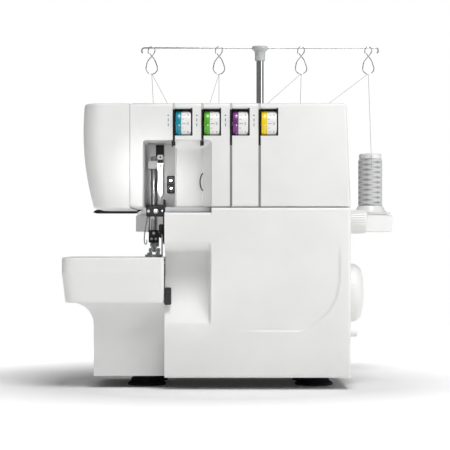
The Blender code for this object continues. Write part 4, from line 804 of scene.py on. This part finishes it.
for index, colour in enumerate(dialNames):
    left = dials["first"] + dials["pitch"] * index + dials["slot"] / 2 + 0.6
    place = (left, dials["y"], dials["z"])
    body = "dial_%d" % (index + 1)
    r, run = dials["ringRadius"], dials["ringRun"]
    ring = lathe([(2.6, 0), (r - 0.9, 0), (r - 0.3, 0.25), (r, 0.8), (r, 1.6), (r - 0.35, 1.9),
                  (r - 0.35, 2.2),
                  (r, 2.5), (r, run - 0.7), (r - 0.4, run - 0.1), (2.6, run - 0.1), (2.6, 0)], place, "x",
                  96)
    finish("dialRing_" + colour, ring, rings[colour], body,
           ("tension_dial_" + colour,), 40)
    w = dials["wheelRadius"]
    wheel = lathe([(2.6, run), (w - 0.3, run), (w, run + 0.3), (w, 14.6), (w - 0.7, 15.3), (2.6, 15.3),
                   (2.6, run)],
                  place, "x", 96)
    finish("dialWheel_" + colour, wheel, glossWhite, body, angle=40)
    marks, dots = bmesh.new(), bmesh.new()
    for step in range(18):
        turn = math.radians(step * 20 + 4)
        long = step % 2 == 0
        tick = block((left + run + 0.9, left + run + (4.4 if long else 2.6)),
                     (dials["y"] - w - 0.03, dials["y"] - w + 0.1), (dials["z"] - 0.22, dials["z"] + 0.22),
                     0, 1)
        addTurned(marks, tick, turn, place)
        if step < 8:
            dot = block((left + 3.2, left + 4.3), (dials["y"] - r - 0.03, dials["y"] - r + 0.2),
                        (dials["z"] - 0.55, dials["z"] + 0.55), 0, 1)
            addTurned(dots, dot, math.radians(step * 45 + 11), place)
    finish("dialTicks_" + colour, marks, smokeAbs, body)
    finish("dialDots_" + colour, dots, glossWhite, body)
    digits = bmesh.new()
    for number in range(1, 10):
        text = bpy.data.curves.new("digit", "FONT")
        text.body = str(number)
        text.size = 0.0034
        text.extrude = 0.00006
        text.align_x = "CENTER"
        text.align_y = "CENTER"
        draft = bpy.data.objects.new("digit", text)
        scene.collection.objects.link(draft)
        one = bmesh.new()
        one.from_mesh(meshOf(draft))
        bpy.data.objects.remove(draft)
        bmesh.ops.rotate(one, cent=(0, 0, 0), matrix=Matrix.Rotation(math.pi / 2, 3, "X"), verts=one.verts)
        bmesh.ops.translate(one, vec=at(left + run + 6.9, dials["y"] - w - 0.02, dials["z"]),
                            verts=one.verts)
        addTurned(digits, one, math.radians(number * 40 - 196), place)
    finish("dialDigits_" + colour, digits, smokeAbs, body, merge=False)
print("dials done")

# handwheel, stitch dial and feed knob on the right side
wheel = {"x": 187.5, "y": 75.0, "z": 95.1, "radius": 30.0, "flutes": 36}
wheelPlace = (wheel["x"], wheel["y"], wheel["z"])
hub = lathe([(5.6, 0), (27.8, 0), (29.2, 0.5), (29.8, 1.4), (30.0, 2.6), (30.0, 8.2), (29.6, 9.8),
             (28.4, 11.6),
             (26.2, 14.2), (24.6, 15.1), (23.2, 15.3), (22.4, 14.6), (21.6, 14.5), (18.0, 16.9),
             (10.0, 17.7),
             (0, 18.0)], wheelPlace, "x", 128)
finish("handwheelShell", hub, whiteAbs, "handwheel_shaft", ("handwheel",), 25)
# finger flutes round the rim
flutes = bmesh.new()
for step in range(wheel["flutes"]):
    flute = block((190.0, 195.6), (wheel["y"] - wheel["radius"] - 0.25, wheel["y"] - wheel["radius"] + 1.0),
                  (wheel["z"] - 0.75, wheel["z"] + 0.75), 0.3, 2)
    addTurned(flutes, flute, 2 * math.pi * step / wheel["flutes"], wheelPlace)
finish("handwheelFlutes", flutes, whiteAbs, "handwheel_shaft", merge=False)
mark = block((195.8, 197.4), (wheel["y"] - 29.4, wheel["y"] - 27.3), (wheel["z"] - 0.5, wheel["z"] + 0.5),
             0.1, 1)
finish("handwheelMark", mark, smokeAbs, "handwheel_shaft")

dialSide = {"x": 187.4, "y": 60.0, "z": 169.0, "ribs": 30}
dialPlace = (dialSide["x"], dialSide["y"], dialSide["z"])
core = lathe([(0, -12), (3.0, -12), (3.0, 0), (12.4, 0), (12.4, 2.2), (11.6, 2.6), (11.6, 18.6),
              (11.2, 19.6), (10.0, 20.6),
              (8.6, 21.0), (0, 21.0)], dialPlace, "x", 120)
finish("stitchDialCore", core, whiteAbs, "stitch_dial", ("stitch_length_dial",), 30)
ribs = bmesh.new()
for step in range(dialSide["ribs"]):
    rib = block((190.2, 206.6), (dialSide["y"] - 12.4, dialSide["y"] - 11.2),
                (dialSide["z"] - 0.62, dialSide["z"] + 0.62), 0.35, 2)
    addTurned(ribs, rib, 2 * math.pi * step / dialSide["ribs"], dialPlace)
finish("stitchDialRibs", ribs, whiteAbs, "stitch_dial", merge=False)
collarMarks = bmesh.new()
for z in (180.0, 171.2, 161.8, 157.2):
    block((188.1, 189.2), (dialSide["y"] - 12.5, dialSide["y"] - 12.3), (z - 0.4, z + 0.4), 0, 1,
          collarMarks)
finish("stitchDialMarks", collarMarks, smokeAbs, "stitch_dial")

nub = lathe([(0, -10), (1.8, -10), (1.8, 0), (3.6, 0), (3.8, 0.4), (3.8, 8.6), (3.4, 9.8), (2.6, 10.4),
             (0, 10.5)],
            (187.4, 52.0, 54.0), "x", 48)
block((196.4, 197.75), (51.5, 52.5), (51.4, 56.6), 0.2, 1, nub)
finish("feedKnobShell", nub, whiteAbs, "feed_knob", ("differential_feed_knob",), 30)
print("right side done")

# thread stand: spools, dishes, tray and the telescopic guide
softened("spool_stand", 0.8, whiteAbs)
spools = {"base": 191.5, "top": 243.5, "radius": 13.8, "rib": 0.1, "y": 245.5, "tray": 179.1}
for index in range(4):
    low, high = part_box("spool_%d" % (index + 1))
    x = ((low.x + high.x) / 2 - seam.x) * 1000
    body = "thread_%d" % (index + 1)
    place = (x, spools["y"], 0)
    base, top, t = spools["base"], spools["top"], spools["tray"]
    dish = lathe([(3.0, t), (20.6, t), (22.3, t + 0.9), (23.0, t + 2.2), (23.0, t + 3.0), (22.3, t + 3.2),
                  (20.0, t + 2.6),
                  (16.5, t + 6.0), (14.9, base - 2.6), (13.6, base - 1.4), (3.0, base - 1.4), (3.0, t)],
                  place, "z", 96)
    finish("spoolDish%d" % (index + 1), dish, glossWhite, body, ("spool_%d" % (index + 1),),
           30)
    wound = lathe([(3.1, base - 1.2), (13.2, base - 1.2), (13.8, base - 0.6)]
                  + [(spools["radius"] - spools["rib"] * (k % 2), base + 50.6 * k / 46) for k in range(1,
                                                                                                       47)]
                  + [(13.5, top - 0.5), (12.6, top + 0.2), (3.1, top + 0.2), (3.1, base - 1.2)], place, "z",
                  72)
    layer = wound.loops.layers.uv.new("wind")
    axis = at(*place)
    for face in wound.faces:
        for loop in face.loops:
            away = loop.vert.co - axis
            turn = math.atan2(away.y, away.x)
            middle = face.calc_center_median() - axis
            near = math.atan2(middle.y, middle.x)
            turn += 2 * math.pi * round((near - turn) / (2 * math.pi))
            loop[layer].uv = (turn * spools["radius"] / 1000, away.z)
    finish("spoolWinding%d" % (index + 1), wound, thread, body, angle=60, merge=False)
    cap = lathe([(3.1, top + 0.5), (12.4, top + 0.5), (12.8, top + 1.0), (12.8, top + 5.2),
                 (12.1, top + 6.2), (10.9, top + 6.5),
                 (4.4, top + 6.5), (4.0, top + 5.9), (3.6, top + 2), (3.1, top + 0.5)], place, "z", 96)
    finish("spoolCollar%d" % (index + 1), cap, glossWhite, body, angle=30)
print("spools done")

pole = {"x": 100.0, "y": 182.0, "bar": 364.4, "half": 128.5, "eyes": (-120.5, -45.7, 45.7, 120.5)}
cap = lathe([(4.5, 349.9), (5.3, 349.9), (5.6, 350.3), (5.8, 358.4), (6.4, 360.6), (8.6, 362.6),
             (9.0, 363.4),
             (9.0, 365.4), (8.4, 366.1), (0, 366.2)], (pole["x"], pole["y"], 0), "z", 72)
finish("guideCap", cap, greyAbsAndPaintedShade, "guide", ("guide_collar",), 35)
tube = lathe([(0, 230.2), (3.4, 230.2), (4.0, 230.8), (4.0, 355.5), (0, 355.5)], (pole["x"], pole["y"], 0),
             "z", 72)
finish("upperTube", tube, chrome, "guide", ("upper_pole",), 40)
sleeve = lathe([(4.5, 140.2), (5.8, 140.2), (5.8, 259.2), (6.4, 259.8), (6.4, 261.6), (6.0, 262.0),
                (4.7, 262.0), (4.5, 261.7),
                (4.5, 140.2)], (pole["x"], pole["y"], 0), "z", 72)
finish("socketTube", sleeve, chrome, "machine", ("pole_socket",), 40)


def arcPoints(centre, radius, start, end, count):
    turns = [math.radians(start + (end - start) * i / count) for i in range(count + 1)]
    return [(centre[0] + radius * math.cos(a), centre[1] + radius * math.sin(a)) for a in turns]


curl = 3.2
rightCurl = arcPoints((pole["x"] + pole["half"], pole["bar"] - curl), curl, 90, -60, 16)
leftCurl = arcPoints((pole["x"] - pole["half"], pole["bar"] - curl), curl, 240, 90, 16)
wire("crossWire", [(x, pole["y"], z) for x, z in leftCurl + rightCurl], 0.85, chrome, "guide",
     ("guide_bar",))
for index, offset in enumerate(pole["eyes"]):
    x, y, z = pole["x"] + offset, pole["y"] - 2.3, pole["bar"]
    path = [(x - 3.6, y, z - 6.4), (x - 4.2, y, z - 3.4), (x - 3.4, y, z - 0.6), (x - 1.2, y, z + 1.1),
            (x + 1.2, y, z + 1.1),
            (x + 3.4, y, z - 0.6), (x + 4.0, y, z - 3.2), (x + 2.6, y, z - 6.8), (x, y, z - 9.8),
            (x - 3.4, y + 0.2, z - 13.4),
            (x - 5.7, y + 0.5, z - 17.4)]
    path += [(a, y + 0.5 + 1.7 * k / 18, b) for k, (a, b) in
             enumerate(arcPoints((x, z - 22.9), 6.4, 155, 385, 18))]
    path += [(x + 3.6, y + 2.2, z - 13.6), (x + 1.2, y + 2.2, z - 10.6), (x - 1.6, y + 2.2, z - 7.2),
             (x - 2.2, y + 2.2, z - 6.2)]
    wire("threadEye%d" % (index + 1), path, 0.6, chrome, "guide",
         ("thread_eye_%d" % (index + 1),), "NURBS", 3)
print("thread guide done")

# needle recess, presser and knife
# a grey ledge fills the gap under the head; its grey is painted shade of that gap
finish("shoulderLedgeGapShade", block((0.9, 46.7), (10.5, 33), (178.4, 183.1), 0.3), greyAbsAndPaintedShade, "machine")
# a matt black slot in the pocket's back wall, painted shade of the opening
finish("pocketSlot", block((-11.4, -2.9), (75.6, 76.7), (237.5, 249.6), 0.4), mattBlackAndVoidShade, "machine")
finish("needleBarShaft", lathe([(0, 151.6), (3.2, 151.6), (3.2, 171), (3.0, 171.3), (3.0, 172.0),
                                (3.2, 172.3), (3.2, 236.4),
                                (2.6, 237.3), (0, 237.4)], (-13, 65.5, 0), "z", 48),
       steelUp, "needle_group", ("needle_bar",))
softened("needle_clamp", 0.35, blackSteel)
softened("head_bracket", 0.5, blackAbsAndSlotShade)
softened("needle_thread_guide", 0.3, blackAbsAndSlotShade)
softened("needle_thread_takeup", 0.3, greyAbsAndPaintedShade)


def screwHead(place, radius, height, axis, shape=None):
    # a cheese head with a rounded rim
    outline = [(0, 0), (radius, 0), (radius, height * 0.7), (radius * 0.86, height), (0, height)]
    return lathe(outline, place, axis, 32, shape)


# the take-up's white face plate: tapered at its foot, held by a screw, with a black stop and a block above
plate = sheet([-8.7, -8.5, -7, -6, -5, -3.5, -3.3], [195.2, 197, 199.5, 202, 215, 229.6, 229.8],
              lambda x, z: (x + (-5.6 - x) * max(0, (200 - z)) / 7.5, 56.3, z))
backedSheet(plate, 57.4)
finish("takeupPlate", plate, glossWhite, "needle_group", bevel=0.25)
finish("takeupStop", block((-8.6, -3.4), (56.4, 57.4), (229.9, 233.2), 0.2), mattBlackAndVoidShade, "needle_group")
finish("takeupBlock", block((-9.0, -3.2), (55.9, 57.4), (233.3, 238.3), 0.5, 3), glossWhite, "needle_group")
screws = screwHead((-6, 56.35, 226.6), 1.0, -0.25, "y")
screwHead((-6, 55.95, 235.8), 1.0, -0.25, "y", shape=screws)
finish("takeupScrews", screws, blackSteel, "needle_group", angle=30)

discs = bmesh.new()
for z in (203.5, 211.5):  # pretension discs: two thin cups face to face on a pin
    for y, way in ((55.9, -1), (53.6, 1)):
        lathe([(0.9, 0), (2.1, 0), (3.0, 0.35 * way), (3.5, 0.9 * way), (3.45, 1.0 * way), (2.9, 0.5 * way),
               (2.1, 0.15 * way),
               (0.9, 0.15 * way), (0.9, 0)], (5.3, y, z), "y", 48, discs)
    lathe([(0, -0.2), (0.95, -0.2), (1.2, 0), (1.2, 2.6), (0, 2.6)], (5.3, 52.9, z), "y", 32, discs)
finish("pretensionDiscs", discs, chrome, "machine", angle=30)
tips = screwHead((-10.8, 60.4, 180.2), 2.7, -1.2, "y")
screwHead((-18.3, 60.4, 180.2), 1.5, -0.8, "y", shape=tips)
screwHead((-3.6, 60.4, 180.2), 1.5, -0.8, "y", shape=tips)
finish("bracketScrews", tips, steelAcross, "machine", angle=30)
# the bracket screws' slots are thin matt black bars, painted shade of the slots
bars = block((-13.2, -8.4), (59.1, 59.3), (179.9, 180.6), 0, 1)
block((-19.4, -17.2), (59.5, 59.7), (179.95, 180.45), 0, 1, bars)
block((-4.7, -2.5), (59.5, 59.7), (179.95, 180.45), 0, 1, bars)
finish("bracketScrewSlots", bars, mattBlackAndVoidShade, "machine")
finish("guidePost", lathe([(0, 158.6), (1.0, 158.6), (1.5, 159.3), (1.5, 174.6), (0, 174.6)],
                          (-19.0, 73.6, 0), "z", 32),
       steelUp, "machine", angle=40)

sets = bmesh.new()
for x in (-15.2, -10.8):  # hexagon socket screws that hold the two needles
    screwHead((x, 60.45, 151.2), 1.35, -0.7, "y", shape=sets)
screwHead((-13, 60.45, 157.2), 1.5, -0.6, "y", shape=sets)
finish("needleSetScrews", sets, steelAcross, "needle_group", angle=30)
knob = lathe([(0, 0), (1.6, 0), (1.6, 0.6), (2.5, 0.8), (2.8, 1.1), (2.8, 2.4), (2.4, 2.7), (0, 2.7)],
             (-7.4, 65.5, 155), "x", 48)
finish("clampScrewHead", knob, blackSteel, "needle_group", ("needle_clamp_screw",), 30)
for side, name in ((-1, "left"), (1, "right")):
    x = -13 + side * 2.2
    needle = lathe([(0, 127.6), (0.06, 128.0), (0.42, 130.8), (0.45, 132.0), (0.45, 140.8), (0.62, 141.6),
                    (0.95, 143.3),
                    (1.0, 144.2), (1.0, 149.8), (0, 149.9)], (x, 64.5, 0), "z", 24)
    finish("needle_" + name + "_ground", needle, chrome, "needle_group", ("needle_" + name,), 40)

softened("upper_knife_holder", 0.3, blackAbsAndSlotShade)
softened("upper_knife", 0.2, steelUp)
grip = lathe([(0, 152.6), (2.0, 152.6), (2.9, 153.4), (2.9, 157.2), (2.4, 157.8), (2.4, 159.0),
              (2.9, 159.6), (2.9, 165.2),
              (2.1, 166.4), (0, 166.5)], (-4.6, 52.8, 0), "z", 36)
finish("knifeGrip", grip, blackAbsAndSlotShade, "knife_group", angle=30)
screws = screwHead((-3.1, 52.6, 150.0), 1.7, -1.2, "x")
finish("knifeScrew", screws, steelAcross, "knife_group", angle=30)
wire("needleThreadLoop", [(-19.6, 64, 175), (-21.2, 62.4, 166), (-22.6, 60.6, 156), (-22.9, 59.6, 150),
                          (-22.2, 58.4, 146),
                          (-20.6, 58.6, 145.4), (-19.8, 60.0, 147.6), (-20.4, 61.6, 150.4)], 0.55, steelUp,
     "machine", kind="NURBS")

softened("presser_foot", 0.35, chrome)
softened("presser_bar", 0.4, steelUp)
toes = bmesh.new()
block((-20.9, -18.9), (40.6, 47.0), (133.2, 134.6), 0.5, 2, toes)
block((-8.0, -6.0), (40.6, 47.0), (133.2, 134.6), 0.5, 2, toes)
block((-19.4, -16.6), (50, 58), (135.2, 137.2), 0.6, 2, toes)
block((-9.9, -6.7), (50, 57.5), (135.2, 137.4), 0.6, 2, toes)
finish("presserFootToes", toes, chrome, "presser")
finish("presserScrew", screwHead((-17.6, 83, 150), 2.4, -1.6, "x"), blackSteel, "presser",
       angle=30)
softened("needle_plate", 0.2, plateSteel)
plateScrews = screwHead((-29.6, 40.5, 132.2), 2.0, 0.18, "z")
screwHead((-29.6, 90.5, 132.2), 2.0, 0.18, "z", shape=plateScrews)
finish("plateScrews", plateScrews, steelAcross, "machine", angle=30)
lines = bmesh.new()
for k in range(5):  # seam width lines in the plate, 5 mm apart
    block((-33.2 + k * 3.1, -33.0 + k * 3.1), (36.4, 46), (132.36, 132.42), 0, 1, lines)
finish("seamLines", lines, smokeAbs, "machine")

# the dark spring hook on the panel and the bright thread rail beside it
rail = block((37.0, 38.9), (12.6, 13.5), (184.2, 249.0), 0.3, 2)
finish("threadRail", rail, glossWhite, "machine")
wire("checkSpring", [(38.6, 12.4, 217.2), (37.0, 10.6, 215.2), (35.9, 9.4, 211.4), (35.8, 9.0, 207.6),
                     (36.3, 9.4, 203.4),
                     (37.8, 10.8, 200.4), (38.6, 12.4, 199.8)], 0.55, blackSteel, "machine",
                     kind="NURBS")
print("needle area done")

# base, arm, frame and hidden works
softened("lower_housing", 0.5, whiteAbs)
softened("free_arm", 0.4, whiteAbs)
softened("base_tray", 0.4, blackAbsAndSlotShade)
softened("cover_catch", 0.5, blackAbsAndSlotShade)
grips = bmesh.new()
for z in (88.5, 91.0, 93.5, 96.0, 98.5):
    block((1.2, 6.2), (2.45, 3.1), (z - 0.35, z + 0.35), 0.15, 1, grips)
finish("catchGrips", grips, blackAbsAndSlotShade, "cover")
for place, node in ((( -20, 62), "foot_front_left"), ((-20, 120), "foot_rear_left"),
                    ((153, 62), "foot_front_right"),
                    ((153, 120), "foot_rear_right")):
    foot = lathe([(0, 1.0), (9, 1.0), (10, 0), (18.6, 0), (19.6, 0.5), (20.0, 1.6), (19.4, 2.8),
                  (16.4, 4.6), (14.2, 6.4),
                  (13.2, 9.0), (13.0, 11.0), (0, 11.0)], (*place, 0), "z", 64)
    finish(node + "_pad", foot, rubber, "machine", (node,), 30)
softened("main_frame", 0.6, alloy)
softened("upper_looper", 0.25, chrome)
softened("lower_looper", 0.25, chrome)
softened("feed_dog", 0.15, steelAcross)
softened("cover_hinge_rod", 0.2, steelAcross)
softened("presser_lifter", 0.6, blackAbsAndSlotShade)
finish("mainShaftTurned", lathe([(0, 22.2), (4.6, 22.2), (5.0, 22.6), (5.0, 190.6), (4.6, 191.0),
                                 (0, 191.0)], (0, 75, 95.1),
                                "x", 48), steelAcross, "handwheel_shaft", ("main_shaft",))
finish("dialSpindleTurned", lathe([(0, 6.0), (1.8, 6.0), (2.0, 6.3), (2.0, 119.9), (1.8, 120.2),
                                   (0, 120.2)], (0, 9, 267),
                                  "x", 32), steelAcross, "machine", ("dial_spindle",))
# looper threading marks: one coloured square at each thread guide
for index, (colour, x, z) in enumerate((("blue", 18, 128), ("green", 18, 118), ("purple", 60, 128),
                                        ("yellow", 60, 118))):
    lug = block((x, x + 5), (56.0, 60.4), (z, z + 4), 0.4, 2)
    finish("threadingMark_" + colour, lug, rings[colour], "machine")
print("base and works done")

# back and right side: vents, screws, switch and inlet
rear = {"vents": 7, "ventPitch": 5, "wall": 150.0, "armWall": 138.0, "screws": (
    (14, 24), (174, 24), (14, 168), (174, 168), (14, 200), (168, 200), (14, 274), (166, 274), (-62, 24))}
# the vents are thin matt black bars across the wall, painted shade in place of openings
vents = bmesh.new()
for row in range(rear["vents"]):
    low = 34 + row * rear["ventPitch"]
    block((30, 78), (rear["wall"] - 0.3, rear["wall"] + 0.25), (low, low + 2), 0.2, 1, vents)
finish("rearVents", vents, mattBlackAndVoidShade, "machine")
# the cross in each screw head is a thin matt black bar pair, painted shade of the recess
heads, crosses = bmesh.new(), bmesh.new()
for x, z in rear["screws"]:
    y = rear["armWall"] if x < 0 else rear["wall"]
    lathe([(0, -0.6), (3.4, -0.6), (3.4, 0.2), (2.9, 0.45), (0, 0.5)], (x, y, z), "y", 32, heads)
    block((x - 1.6, x + 1.6), (y + 0.45, y + 0.6), (z - 0.3, z + 0.3), 0, 1, crosses)
    block((x - 0.3, x + 0.3), (y + 0.45, y + 0.6), (z - 1.6, z + 1.6), 0, 1, crosses)
finish("rearScrews", heads, blackSteel, "machine", angle=30)
finish("screwCrosses", crosses, mattBlackAndVoidShade, "machine", merge=False)
finish("blankRatingPlate", block((96, 150), (149.9, 150.35), (60, 92), 0.15, 1), greyAbsAndPaintedShade, "machine")
softened("power_rocker", 0.3, blackAbsAndSlotShade)
softened("power_inlet", 0.3, blackAbsAndSlotShade)
bezel = block((186.9, 187.7), (102.4, 119.6), (46.4, 69.6), 0.3, 2)
hole = block((186, 188), (103.9, 118.1), (47.9, 68.1))
bezelObject = finish("switchBezel", bezel, blackAbsAndSlotShade, "machine")
holeMesh = bpy.data.meshes.new("switchOpening")
hole.to_mesh(holeMesh)
hole.free()
holeObject = bpy.data.objects.new("switchOpening", holeMesh)
scene.collection.objects.link(holeObject)
opening = bezelObject.modifiers.new("opening", "BOOLEAN")
opening.object = holeObject
bored = meshOf(bezelObject)
bezelObject.modifiers.clear()
bezelObject.data = bored
bpy.data.objects.remove(holeObject)
pins = bmesh.new()
for y in (127.6, 134.4):
    lathe([(0, 173.2), (1.2, 173.2), (1.2, 182.2), (0.8, 182.8), (0, 182.9)], (0, y, 58), "x", 24, pins)
finish("inletPins", pins, steelAcross, "machine", angle=40)
strokes = block((188.42, 188.56), (110.8, 111.2), (61.2, 65.0), 0, 1)
finish("rockerStroke", strokes, glossWhite, "rocker")
print("back done")

# threads, from each spool through its eye to the rear guide and the slot beside its dial
fine = {"radius": 0.22, "rear": (4.0, 41.0, 95.0, 160.0)}
for index in range(4):
    low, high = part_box("spool_%d" % (index + 1))
    spool = ((low.x + high.x) / 2 - seam.x) * 1000
    eyeX = pole["x"] + pole["eyes"][index]
    rear = fine["rear"][index]
    slot = dials["first"] + dials["pitch"] * index
    start, top = (spool, 231.5, 233), (eyeX, 180.5, 335.6)
    for name, points, fixed in (
        ("threadUp", [start, (spool, 232.2, 246), top], start),
        ("threadDown", [top, (rear, 148, 288.6), (slot, 1.6, 287.0), (slot, 1.2, 283)], (rear, 148, 288.6)),
    ):
        curve = wire(name + str(index + 1), points, fine["radius"], thread, "machine",
                     fineness=1)
        curve.parent = None
        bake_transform(curve)
    wire("rearGuide%d" % (index + 1), [(rear - 2.4, 147, 286.6), (rear - 2.4, 147, 289.6),
                                       (rear - 1.2, 147, 291), (rear + 1.2, 147, 291),
                                       (rear + 2.4, 147, 289.6), (rear + 2.4, 147, 286.6)], 0.6, chrome,
                                       "machine",
         kind="NURBS")
print("threads done")
